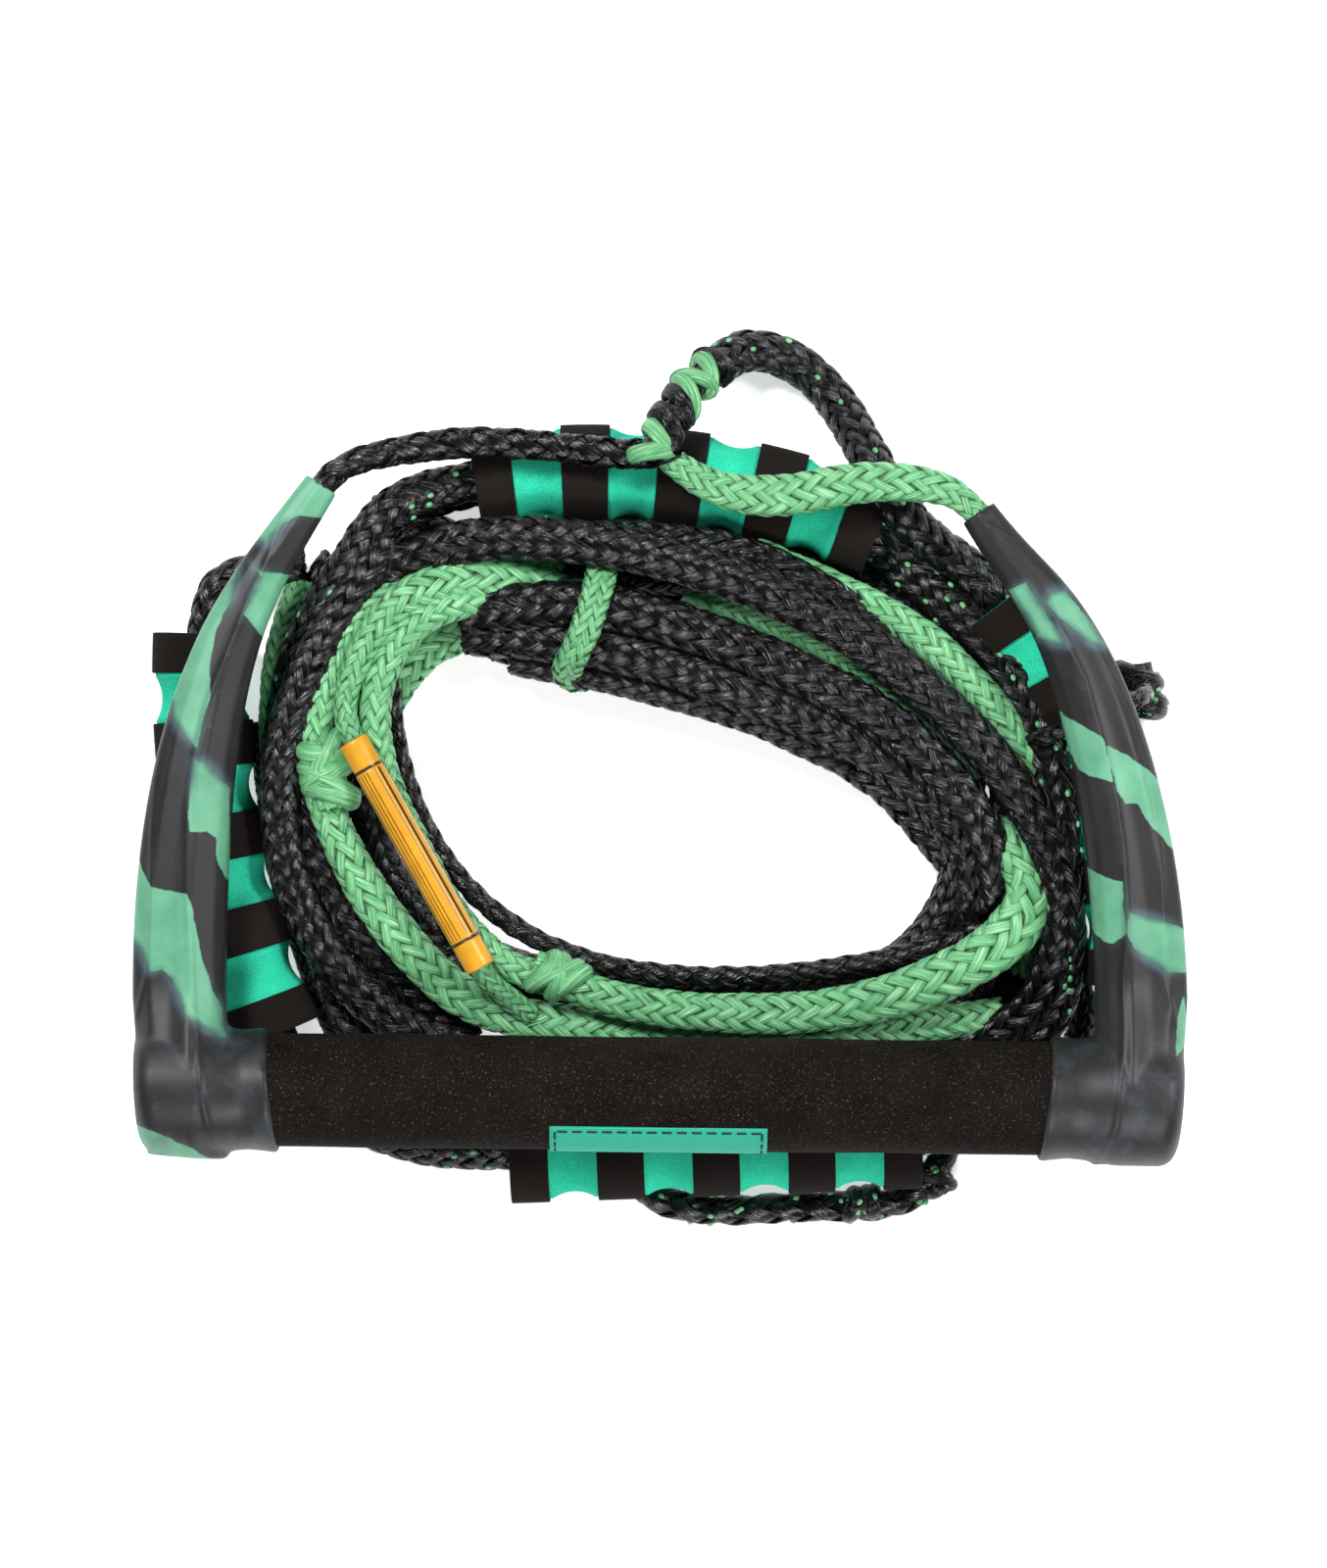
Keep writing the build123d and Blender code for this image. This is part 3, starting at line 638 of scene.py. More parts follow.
# The spare line's turns and folds that lie in the coil, upper ones last
TURNS = {
    "green_fold": dict(route=[(-37, 62.2, 14), (-56, 64.1, 17), (-75.1, 59.1, 18), (-87.8, 47, 17),
        (-96, 28.9, 14), (-96, 8.3, 10)], width=13.5, height=5.0, colour="green"),
    "green_arm_turn": dict(route=[(-119.5, 78.1, 12), (-125.5, 62.2, 19), (-127.6, 46.4, 22),
        (-129, 30.5, 20), (-128, 11.4, 12)], width=10.0, height=6.0, colour="green"),
    "bunch_lower": dict(route=[(-49.7, 53.3, 20), (-24.3, 48.9, 23), (4.3, 41.6, 23), (29.7, 34.3, 22),
        (48.7, 25.1, 22), (60, 20, 20), (66, 20, 12), (61, 25, 9)], width=12.5),
    "bunch_middle": dict(route=[(-64.9, 61.2, 22), (-43.3, 59.7, 28), (-11.6, 55.2, 29), (20.2, 44.8, 29),
        (51.9, 32.1, 28), (78.9, 17.8, 26), (97.9, -2.9, 23), (103.7, -23.5, 19), (101.1, -41, 14)],
        width=15.0),
    "bunch_upper": dict(route=[(-66.2, 66.8, 26), (-43.3, 71.1, 31), (-17.9, 70.1, 33), (13.8, 61.2, 33),
        (45.6, 47.5, 32), (71, 34.2, 31), (93.2, 14.2, 30), (107.5, -7.6, 28), (110.6, -29.8, 22)],
        width=15.5),
    "second_black_turn": dict(route=[(-24.3, 92.4, 28), (7.5, 91.4, 29), (36, 83.8, 29), (61.4, 69.2, 28),
        (80.5, 54.3, 26), (97.9, 36.8, 22)], width=13.0, height=7.5),
    "green_sliver_turn": dict(route=[(7.5, 74.9, 24), (26.5, 67.9, 26), (48.7, 58.4, 27), (67.8, 47, 25),
        (86.8, 30.5, 20), (102.7, 11.4, 14)], width=8.0, height=6.0, colour="green"),
    "green_upper_turn": dict(route=[(29.7, 87.6, 22), (55.1, 76.2, 26), (83.7, 62.2, 28), (107.5, 39.4, 28),
        (121.8, 16.2, 27), (128.1, -6, 24), (128.1, -29.8, 19), (120.2, -52.1, 14)],
        width=12.0, height=7.5, colour="green"),
    "flecked_right_turn": dict(route=[(72.5, 87.6, 14), (97.9, 69.2, 22), (118.6, 43.2, 26),
        (129, 16, 28.5), (131.2, -12, 28), (132, -40, 26.5), (131, -64, 21), (116, -82, 13)],
        width=14.0, flecks=0.5),
    "inner_thin": dict(route=[(-90.3, 46.4, 24), (-88.4, 21, 26), (-75.1, -10.8, 26), (-52.9, -34.6, 26),
        (-21.1, -48.9, 26), (20.2, -53, 25), (61.4, -48.9, 24), (96.4, -41, 22), (115.4, -29.8, 18)],
        width=7.0, height=6.4, per_way=4),
    "flecked_left_turn": dict(route=[(-58.6, 112, 22), (-79.9, 108, 27), (-92.6, 99.3, 29),
        (-103, 83.8, 29), (-115.7, 62.2, 27), (-123.8, 40, 25), (-125.2, 14.6, 22), (-120.7, -10.8, 16)],
        width=14.0, flecks=0.25),
    "left_black_inner": dict(route=[(-99.9, 59.1, 22), (-112.6, 41.6, 26), (-118.6, 17.8, 26),
        (-115.7, -7.6, 25), (-103.7, -34.6, 23), (-84.6, -56.8, 19), (-62.4, -72.7, 14)], width=13.0),
    "left_black_turn": dict(route=[(-89.4, 91.4, 28), (-110, 62.2, 33), (-123.3, 32.1, 33),
        (-127.1, 1.9, 32), (-121.1, -26.7, 30), (-105.3, -53.7, 26), (-83, -71.8, 21), (-56, -80.6, 16)],
        width=13.5),
    "green_knotted_turn": dict(route=[(-34, 79, 17), (-56, 81, 24), (-78.3, 78.1, 28), (-97.3, 67.9, 31),
        (-109.4, 46.4, 32), (-114.8, 28.9, 32), (-112.6, 11.4, 32), (-107.5, -4.4, 31), (-96.7, -25.1, 30),
        (-79.9, -47.3, 28), (-63, -61.6, 25), (-37, -67.9, 22), (1.1, -69.8, 20), (45.6, -70.5, 19),
        (86.8, -68.6, 18), (112.2, -64.8, 16)],
        width=[12, 12, 11, 12, 14, 14, 13, 12, 12, 12], height=7.5, colour="green"),
    "green_sleeve_turn": dict(route=[(-22, 72, 16), (-44, 77.6, 25), (-65.6, 80, 31), (-86.2, 73, 35),
        (-99.9, 53.3, 36), (-104.9, 35.2, 37), (-99.9, 23.5, 40), (-80.2, -12.1, 41.3), (-60.5, -47.6, 40),
        (-54.5, -55.9, 33), (-43.3, -64.8, 25)],
        width=[12, 13, 12, 8.5, 7.2, 7.2, 7.2, 8], height=[7.5, 7.5, 7, 6.6, 6.6, 6.6, 6.6],
        colour="green"),
    "green_inner_turn": dict(route=[(-30, 68, 17), (-50, 71, 25), (-70.3, 72.1, 31), (-87.8, 59.1, 34),
        (-95.4, 38.4, 34), (-92.6, 14.6, 33), (-81.4, -9.2, 32), (-68.1, -33, 31), (-51.3, -48.9, 30),
        (-35.4, -53, 30), (-11.6, -61, 30), (20.2, -64.1, 30), (55.1, -63.5, 30), (86.8, -55.2, 30),
        (112.2, -41, 30), (122.4, -25.1, 29), (115.4, -10.2, 27), (107.5, -2.9, 22)],
        width=[13, 12, 11, 11, 11, 10, 12, 13, 14, 16, 17, 12], height=7.5, colour="green"),
    "top_black_turn": dict(route=[(-103, 59.1, 20), (-94.8, 76.2, 27), (-75.1, 88.9, 32), (-49.7, 93, 35),
        (-11.6, 88.9, 37), (26.5, 78.1, 37), (64.6, 59.7, 36), (97.9, 32.1, 34), (122.4, 2.5, 32),
        (132.6, -25.1, 29), (128.7, -52.1, 25), (118.6, -67.9, 20), (99.5, -79.1, 15)], width=14.5),
    "hidden_outer_turn": dict(route=[(-108, 86, 9), (-121, 66, 8), (-127.5, 42, 8), (-126.5, 14, 8),
        (-120, -14, 8)], width=13.0),
    # hidden_left_edge: a thin black turn of the coil set low beside float B, which also stands in for the
    # dark shade between the float and the coil.
    "hidden_left_edge": dict(route=[(-134.3, 32, 3), (-132, 7, 3), (-127.5, -18, 3), (-120.7, -42.5, 3),
        (-111.8, -66.3, 3), (-105, -80, 3)], width=8.0, height=4.8),
    "hidden_right_edge": dict(route=[(131.5, -8, 3.2), (135.3, -25, 3.2), (137.6, -41, 3.2),
        (138.6, -55, 3.2), (141.5, -68, 4), (134, -84, 4.5)], width=9.0, height=5.4, flecks=0.3),
    "hidden_corner_turn": dict(route=[(122, -30, 5), (118, -50, 5), (108, -65, 5), (90, -74, 5),
        (66, -79, 5)], width=13.0),
    "hidden_left_turn": dict(route=[(-114, -22, 12), (-113, -44, 10), (-106, -62, 8), (-94, -76, 8),
        (-72, -84, 8)], width=13.0),
    "hidden_bunch_turn": dict(route=[(-56, 60, 15), (-12, 52, 17), (24, 41, 17), (52, 28, 17), (80, 10, 16),
        (97, -12, 14)], width=17.0),
    "hidden_right_turn": dict(route=[(117, 8, 9), (124, -24, 8), (129, -50, 8), (122, -72, 8),
        (94, -84, 8)], width=14.0),
    "hidden_upper_turn": dict(route=[(-101, 74, 10), (-95, 90, 9), (-84, 98, 6), (-74, 95.5, 4.5),
        (-61, 87, 5.5), (-38, 90, 8), (-12, 99, 9), (28, 97, 9), (66, 84, 9), (96, 62, 10)], width=12.0),
    "tie": dict(route=[(-18.9, 87.6, 27), (-20.5, 78.1, 36.5), (-23.3, 67.4, 39.5), (-27.5, 56.2, 38),
        (-32.5, 48.3, 31), (-29.4, 45.1, 22), (-23, 48.3, 17)], width=10.2, height=2.8, colour="green"),
}

# Lower turns of the coil, wound by a loop: turns, and the oval's size
COIL_CENTRE = (1.0, 7.0)
COIL_AXES = (126.0, 82.0)
COIL_TILT = math.radians(-7)
COIL_LEVELS = (4.6, 12.6)
COIL_LANES = (1.0, 0.905, 0.81)
COIL_POINTS_A_TURN = 14


def rope(name, route, width, height=8.0, colour="black", far_end="object", node="rope_coil",
         with_pieces=(), blend=None, **options):
    """A length of braided rope along its route: its CAD node is hidden, and it rides on the root unless it
    has a blend, when its transform is baked in.
    """
    line = route_line(route)
    parts = Parts()
    add_braid(parts, line, width, height, seed=sum(map(ord, name)) % 50, **options)
    piece = rope_piece(name + "_braid", parts, colour)
    if blend:
        place(blend[0])
        place(blend[1])
        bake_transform(piece)
    else:
        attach(piece, "root")
    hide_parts(node)
    float(np.max(width)) * MM
    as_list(with_pieces)


def lower_turns():
    """The coil's hidden lower turns: one oval on each level, each a little different."""
    cos, sin = math.cos(COIL_TILT), math.sin(COIL_TILT)
    tilt = np.array([[cos, sin], [-sin, cos]])
    for level, z in enumerate(COIL_LEVELS):
        for lane, share in enumerate(COIL_LANES):
            route = []
            for index in range(COIL_POINTS_A_TURN + 1):
                angle = 2 * math.pi * index / (COIL_POINTS_A_TURN + 0.6) + 0.9 * level + 0.4 * lane
                wobble = 1 + rng.uniform(-0.02, 0.02)
                flat = [size * share * wobble * math.copysign(abs(turn) ** 0.8, turn)
                        for size, turn in zip(COIL_AXES, (math.cos(angle), math.sin(angle)))]
                route.append((*(COIL_CENTRE + flat @ tilt), z))
            rope("lower_turn_%d_%d" % (level + 1, lane + 1), route, 12.0, 7.4)


# ---- knots, splice, sleeve

def knot(name, node, centre, radii, axis, colour, wraps, flecks=0.0):
    """A pulled-tight knot: bundles wound slantwise round a core along an axis given in plan."""
    turn = math.radians(axis)
    along = np.array([math.cos(turn), math.sin(turn), 0.0])
    across = np.array([-math.sin(turn), math.cos(turn), 0.0])
    long, wide, high = radii
    angles = np.linspace(-0.2, 2 * math.pi + 0.2, 80)[:, None]
    parts = Parts()
    for index, (shift, slant, thick) in enumerate(wraps):
        squeeze = math.sqrt(max(0.3, 1 - (shift * 0.8) ** 2))
        drift = shift * long + math.tan(math.radians(slant)) * wide * 0.6 * np.cos(angles) \
            + 0.35 * thick * np.sin(angles + index)
        line = centre + along * drift + across * (wide - thick) * squeeze * np.cos(angles) \
            + UP * (high - thick) * squeeze * np.sin(angles)
        add_braid(parts, line * MM, 2 * thick, 2 * thick, crossing=False, flecks=flecks,
                  seed=index + len(name))
    spine = centre + along * np.linspace(-0.8, 0.8, 12)[:, None] * long
    add_braid(parts, spine * MM, 1.3 * wide, 1.3 * high, crossing=False, seed=9)
    return declare(rope_piece(name, parts, colour), "root", node, ROPE_SLOTS[colour])


# Each knot: CAD node, the line it is on, centre, half sizes, axis in degrees, colour, and its wraps
# as shift, slant in degrees and half thickness, then its share of flecks
KNOTS = {
    "left_knot": ("left_section_knot", "green_knotted_turn", (-110.0, 14.5, 32.0), (14.0, 10.0, 9.5), -78,
        "green",
        [(-0.55, 18, 3.7), (-0.05, -22, 3.9), (0.45, 20, 3.8), (0.18, 44, 3.2), (-0.30, -48, 3.2)]),
    "lower_knot": ("lower_section_knot", "green_inner_turn", (-35.5, -51.5, 30.0), (9.5, 9.0, 8.0), -25,
        "green", [(-0.45, 20, 3.4), (0.10, -18, 3.5), (0.55, 22, 3.2), (0.0, 46, 2.8)]),
    "end_knot": ("right_end_knot", "right_side_line", (158.6, 42.4, 9.4), (11.0, 8.8, 7.8), 100,
        "black", [(-0.5, 20, 3.2), (0.0, -25, 3.3), (0.5, 22, 3.0), (0.1, 48, 2.6)], 0.25),
    "side_knot": ("lower_line_knot", "lower_side_line", (66.0, -128.0, 7.2), (7.5, 6.6, 6.4), 5,
        "black", [(-0.4, 16, 3.0), (0.35, -20, 3.0), (0.0, 44, 2.5)], 0.25),
    "corner_knot": ("lower_line_knot", "lower_side_line", (90.5, -120.0, 6.6), (7.0, 6.2, 6.0), -60,
        "black", [(-0.4, 16, 2.9), (0.35, -20, 2.9), (0.0, 44, 2.4)], 0.3),
}
SPLICE_ROUTE = [(-4, 118, 43), (-1, 124, 42), (3, 131.5, 39), (8, 139.5, 34), (13, 146, 28), (19, 151, 21)]
# The splice's tucks: share along it, slant in degrees, and how far out they lie
BRIDLE_TUCKS = {
    "green": [(0.04, 48, 5.6), (0.14, -42, 5.4), (0.54, -48, 5.6), (0.66, 38, 5.4), (0.79, -46, 5.2)],
    "black": [(0.26, -48, 5.6), (0.34, 44, 5.2), (0.43, -42, 5.4), (0.93, 30, 5.4)],
}


def bridle_wraps():
    """The woven splice under the arch: green and black tucks that cross over by turns."""
    spine, at = spaced(route_line(SPLICE_ROUTE), 1.0 * MM)
    heading, side, up = line_frames(spine)
    last = len(spine) - 1
    angles = np.linspace(-0.35 * math.pi, 1.35 * math.pi, 60)
    made = []
    for colour, tucks in BRIDLE_TUCKS.items():
        parts = Parts()
        if colour == "black":
            add_braid(parts, spine, 9.0, 7.0, seed=3)
        for index, (share, slant, reach) in enumerate(tucks):
            here = int(share * last)
            drift = here + math.tan(math.radians(slant)) * 3.4 * np.cos(angles)
            on_spine = np.stack([np.interp(drift, np.arange(last + 1), axis) for axis in spine.T], axis=1)
            past = drift - np.clip(drift, 0, last)
            line = on_spine + (side[here] * np.cos(angles)[:, None] * reach
                               + up[here] * np.sin(angles)[:, None] * reach * 0.75
                               + heading[here] * past[:, None]) * MM
            add_braid(parts, line, 6.0, 4.2, per_way=7, crossing=False, seed=index)
        piece = rope_piece("bridle_tucks_" + colour, parts, colour)
        made.append(declare(piece, "root", "bridle_splice", ROPE_SLOTS[colour]))
    return made


SLEEVE_ENDS = ((-101.0, 25.5, 41.3), (-59.3, -48.5, 41.3))
SLEEVE_RADIUS = 5.0
SLEEVE_WALL = 1.1
SLEEVE_RING_AT = 10.5
# The lines down the sleeve, in degrees round it
SLEEVE_LINES = ((24, 31), (46, 49), (62, 65), (78, 81), (94, 97), (110, 113), (127, 136))


def label_sleeve():
    """The amber sleeve with a ring near each end and plain lines down its upper side."""
    start, end = (place(point) for point in SLEEVE_ENDS)
    length = np.linalg.norm(end - start) / MM
    run = unit(end - start)
    side = unit(np.cross(run, UP))
    up = np.cross(side, run)
    along = np.concatenate([[0, 0.15, 0.5], np.linspace(1.2, length - 1.2, 150),
                            [length - 0.5, length - 0.15, length]])
    outer = np.full(len(along), SLEEVE_RADIUS)
    outer[[0, -1]] -= 0.55
    outer[[1, -2]] -= 0.2
    rings_at = (SLEEVE_RING_AT, length - SLEEVE_RING_AT)
    for ring_at in rings_at:
        outer -= 0.30 * np.exp(-((along - ring_at) / 0.35) ** 2)
    radius = np.concatenate([outer, np.full(len(along), SLEEVE_RADIUS - SLEEVE_WALL)])[:, None] * MM
    stations = np.concatenate([along, along[::-1]])
    rings = hoops(start + run * stations[:, None] * MM, side * radius, up * radius)
    printed = np.zeros(rings.shape[:2])
    on_body = (stations > SLEEVE_RING_AT + 1) & (stations < length - SLEEVE_RING_AT - 1)
    degrees = np.linspace(0, 360, rings.shape[1], endpoint=False)
    for first, last in SLEEVE_LINES:
        printed[np.ix_(on_body, (degrees > first) & (degrees < last))] = 1.0
    for ring_at in rings_at:
        printed[np.abs(stations - ring_at) < 0.45] = 1.0
    parts = Parts()
    parts.add(rings, ring_faces(rings), print=printed.ravel())
    return declare(parts.build("amber_label_sleeve", "sleeve"), "root", "label_sleeve", "sleeve_amber")


# ---- floats

def float_rings(letter, profile):
    """Rings of a closed profile of (distance along, radius) turned round a float's axis."""
    distance, radius = np.array(profile).T[:, :, None]
    if letter in FLOAT_BENDS:
        middle, bend, first, turn = FLOAT_BENDS[letter]
        angle = np.radians(first + turn * distance / FLOAT_LENGTH)
        outward = np.concatenate([np.cos(angle), np.sin(angle), 0 * angle], axis=1)
        centre = np.array([*middle, FLOAT_RADIUS]) + outward * bend
    else:
        middle, (x, y) = FLOAT_STRAIGHT
        outward = np.array([[y, -x, 0.0]]).repeat(len(distance), 0)
        centre = np.array([*middle, FLOAT_RADIUS]) + np.array([x, y, 0.0]) * (distance - FLOAT_LENGTH / 2)
    return hoops(centre, outward * radius, UP * radius) * MM


def float_bands():
    """Where the black bands lie along a float."""
    middle = FLOAT_GROOVES - 1
    width = (FLOAT_LENGTH - 2 * FLOAT_END_BAND - FLOAT_GROOVES * FLOAT_GROOVE) / middle
    spans = [(0.0, FLOAT_END_BAND)]
    for index in range(middle):
        first = FLOAT_END_BAND + FLOAT_GROOVE + index * (width + FLOAT_GROOVE)
        spans.append((first, first + width))
    return spans + [(FLOAT_LENGTH - FLOAT_END_BAND, FLOAT_LENGTH)]


def even(first, last, radius, count):
    """Points of a profile from one distance to another at one radius."""
    return [(distance, radius) for distance in np.linspace(first, last, count)]


def float_sleeve(letter):
    """A float: its green foam, hollowed between the bands, and its black skin bands."""
    under = FLOAT_RADIUS - FLOAT_SKIN
    spans = float_bands()
    outline = [(0.0, under - 0.5), (0.25, under - 0.12)]
    for index, (first, last) in enumerate(spans):
        outline += even(max(first, 0.6), min(last, FLOAT_LENGTH - 0.6), under, 8)
        if index < FLOAT_GROOVES:
            outline += [(last + FLOAT_GROOVE * share,
                         FLOAT_RADIUS - 0.35 - FLOAT_GROOVE_DEPTH * (1 - (2 * share - 1) ** 2) ** 0.85)
                        for share in np.linspace(0, 1, 17)[1:-1]]
    outline += [(FLOAT_LENGTH - 0.25, under - 0.12), (FLOAT_LENGTH, under - 0.5)]
    bore = even(FLOAT_LENGTH, 0, FLOAT_BORE, 30)[1:-1]
    outline += [(FLOAT_LENGTH, FLOAT_BORE + 0.5), *bore, (0.0, FLOAT_BORE + 0.5)]
    parts = Parts()
    rings = float_rings(letter, outline)
    parts.add(rings, ring_faces(rings))
    foam = parts.build("float_%s_green_foam" % letter, "foam_green")
    declare(foam, "float_" + letter, "float_%s_core" % letter, "float_core")
    parts = Parts()
    low, ease, top = under - 0.05, 0.35, FLOAT_RADIUS
    for first, last in spans:
        ring = [(first, low), (first, top - ease), (first + 0.1, top - 0.1)]
        ring += even(first + ease, last - ease, top, 8)
        ring += [(last - 0.1, top - 0.1), (last, top - ease), (last, low)] + even(last, first, low, 8)[1:-1]
        rings = float_rings(letter, ring)
        parts.add(rings, ring_faces(rings))
    skin = parts.build("float_%s_black_bands" % letter, "foam_black")
    declare(skin, "float_" + letter, "float_%s_bands" % letter, "float_skin")


# ---- handle

def grip_axes():
    """The bar's centre and its directions, in metres."""
    along = np.array([math.cos(GRIP_TILT), math.sin(GRIP_TILT), 0.0])
    across = np.array([-math.sin(GRIP_TILT), math.cos(GRIP_TILT), 0.0])
    return np.array([*GRIP_CENTRE, HANDLE_Z]) * MM, along, across


def foam_grip():
    """The foam sleeve on the bar, faintly uneven, with softened ends."""
    centre, along, across = grip_axes()
    half = GRIP_LENGTH / 2
    stations = np.concatenate([[-half, -half + 0.3, -half + 1.0], np.linspace(-half + 2, half - 2, 180),
                               [half - 1.0, half - 0.3, half]])
    outer = GRIP_RADIUS + 0.09 * np.sin(stations / 17.0) + 0.06 * np.sin(stations / 7.3 + 1)
    outer[[0, -1]] -= 0.5
    outer[[1, -2]] -= 0.15
    radius = np.concatenate([outer, np.full(len(stations), TUBE_RADIUS + 0.05)])[:, None] * MM
    where = np.concatenate([stations, stations[::-1]])[:, None] * MM
    rings = hoops(centre + along * where, across * radius, UP * radius, 128)
    parts = Parts()
    parts.add(rings, ring_faces(rings))
    declare(parts.build("grip_sleeve", "grip"), "handle", "foam_grip", "grip_foam")


LABEL_LENGTH = 70.0
LABEL_ANGLES = (32.0, 98.0)
LABEL_THICKNESS = 0.55
STITCH = 3.2
STITCH_GAP = 1.6
STITCH_INSET = 1.7
STITCH_WIDTH = 0.7


def add_patch(parts, box, inner, outer, columns, rows, slot):
    """Adds a closed curved slab on the grip; box is along the bar and in degrees from its top."""
    centre, along, across = grip_axes()
    x = np.linspace(*box[:2], columns)[:, None] * MM
    a = np.radians(np.linspace(*box[2:], rows))[:, None, None]
    points = np.array([centre + along * x - across * radius * np.sin(a) * MM + UP * radius * np.cos(a) * MM
                       for radius in (inner, outer)])
    grid = np.arange(rows * columns).reshape(rows, columns)
    low = grid[:-1, :-1].ravel()[:, None]
    edge = np.concatenate([grid[0], grid[1:, -1], grid[-1, -2::-1], grid[-2:0:-1, 0]])
    after = np.roll(edge, -1)
    above = rows * columns
    parts.add(points, [low + [0, 1, columns + 1, columns], low + above + [0, columns, columns + 1, 1],
                       np.stack([edge, above + edge, above + after, after], -1)], slot)


def grip_label():
    """The stitched cloth patch on the grip's front, blank inside its dashed border."""
    half = LABEL_LENGTH / 2
    first, last = LABEL_ANGLES
    face = GRIP_RADIUS + LABEL_THICKNESS
    degree = math.degrees(1 / GRIP_RADIUS)
    low, high = first + STITCH_INSET * degree, last - STITCH_INSET * degree
    reach, thread = half - STITCH_INSET, STITCH_WIDTH / 2
    parts = Parts()
    add_patch(parts, (-half, half, first, last), GRIP_RADIUS - 0.1, face, 60, 40, 0)
    for row in (low, high):
        for at in stitches(-reach, reach, 1.0):
            box = (at, at + STITCH, row - thread * degree, row + thread * degree)
            add_patch(parts, box, face - 0.1, face + 0.18, 5, 3, 1)
    for row in (-reach, reach):
        for at in stitches(low, high, degree):
            box = (row - thread, row + thread, at, at + STITCH * degree)
            add_patch(parts, box, face - 0.1, face + 0.18, 5, 3, 1)
    declare(parts.build("grip_patch", "label", "label_dark"), "handle", "grip_label", "label_teal")


def stitches(low, high, unit_size):
    """Where each stitch of a row begins."""
    at = low + 0.5 * STITCH_GAP
    while at + STITCH * unit_size < high:
        yield at
        at += (STITCH + STITCH_GAP) * unit_size


def arm_section(crest, corners=96, soften=0.03):
    """The arm's faceted section as shares of half its width and depth, with its parting ridge at crest."""
    upper = [(1.0, 0.0), (0.95, 0.42), (0.56, 0.80), ((0.56 + crest) / 2, 0.83), (crest, 1.0),
             (-0.78, 0.68), (-0.97, 0.35)]
    outline = np.array(upper + [(-1.0, 0.0)] + [(u, -v) for u, v in upper[:0:-1]] + upper[:1])
    angles = np.unwrap(np.arctan2(outline[:, 1], outline[:, 0]))
    spin = np.linspace(0, 2 * math.pi, corners, endpoint=False)
    facet = np.stack([np.interp(spin, angles, outline[:, k]) for k in range(2)], -1)
    ellipse = np.stack([np.cos(spin), np.sin(spin)], -1)
    return facet * (1 - soften) + ellipse * soften


def arm_blade(stations, side):
    """Rings of the arm's blade, from its tip to where it wraps the bar's end."""
    table = np.array(stations)
    share = np.linspace(0, 1, len(table))
    fine = np.linspace(0, 1, 120)
    x, y, width = (np.polyval(np.polyfit(share, table[:, k], 5), fine) for k in range(3))
    centre = np.stack([x, y, np.full(len(x), HANDLE_Z)], -1)
    heading = unit(np.gradient(centre, axis=0))
    outward = np.cross(heading, UP) * -side
    rings = []
    for point, out, w in zip(centre, outward, width):
        section = arm_section(-0.28 * np.clip((105 - point[1]) / 75, 0, 1))
        ring = point + out * section[:, :1] * w / 2
        swell = np.clip((-50 - point[1]) / 36, 0, 1)
        ratio = ARM_DEPTH_RATIO + 0.60 * swell ** 2 * (3 - 2 * swell)
        below = np.clip((GRIP_CENTRE[1] - point[1]) / CAP_RADIUS, 0, 0.97)
        ring[:, 2] += section[:, 1] * w / 2 * ratio * math.sqrt(1 - below ** 2)
        rings.append(ring)
    return np.array(rings)


def baked(piece, **modifier):
    """A piece with one modifier worked into its mesh."""
    added = piece.modifiers.new("work", modifier.pop("kind"))
    for key, value in modifier.items():
        setattr(added, key, value)
    mesh = bpy.data.meshes.new_from_object(piece.evaluated_get(bpy.context.evaluated_depsgraph_get()))
    piece.modifiers.clear()
    piece.data = mesh


def mesh_points(piece):
    """A piece's points in millimetres."""
    points = np.zeros(len(piece.data.vertices) * 3)
    piece.data.vertices.foreach_get("co", points)
    return points.reshape(-1, 3) / MM


def line_distance(points, line):
    """Distance in plan from each point to a line of points."""
    line = np.array(line, float)
    best = np.full(len(points), np.inf)
    for a, d in zip(line, np.diff(line, axis=0)):
        t = np.clip(((points - a) @ d) / (d @ d), 0, 1)
        best = np.minimum(best, np.linalg.norm(points - a - t[:, None] * d, axis=1))
    return best


def polygon_distance(points, outline):
    """Signed distance in plan from each point to an outline, above 0 inside."""
    outline = np.array(outline + outline[:1], float)
    inside = np.zeros(len(points), bool)
    x, y = points.T
    for a, b in zip(outline, outline[1:]):
        crosses = (a[1] > y) != (b[1] > y)
        inside ^= crosses & (x < (b[0] - a[0]) * (y - a[1]) / ((b[1] - a[1]) or 1e-9) + a[0])
    best = line_distance(points, outline)
    return np.where(inside, best, -best)


def cap_profile():
    """The collar's lip, the collar and the rounded cap as (distance along the bar, radius)."""
    inner = GRIP_LENGTH / 2
    collar = inner + COLLAR_LENGTH
    end = collar + CAP_LENGTH - 2.5
    turn = 7.0
    lip = [(-0.3, 2.0), (-0.3, 19.4), (0.2, 20.0), (1.2, 20.3), (3.5, 19.9), (8.0, 19.4)]
    profile = [(inner + distance, radius) for distance, radius in lip]
    profile += [(collar - 1.0, 19.8), (collar + 4.0, 21.0), (collar + 9.0, CAP_RADIUS)]
    profile += [(end - turn + turn * math.sin(a), CAP_RADIUS - turn + turn * math.cos(a))
                for a in np.radians(np.linspace(0, 90, 8))]
    return profile + [(end, 8.0), (end, 2.0)]


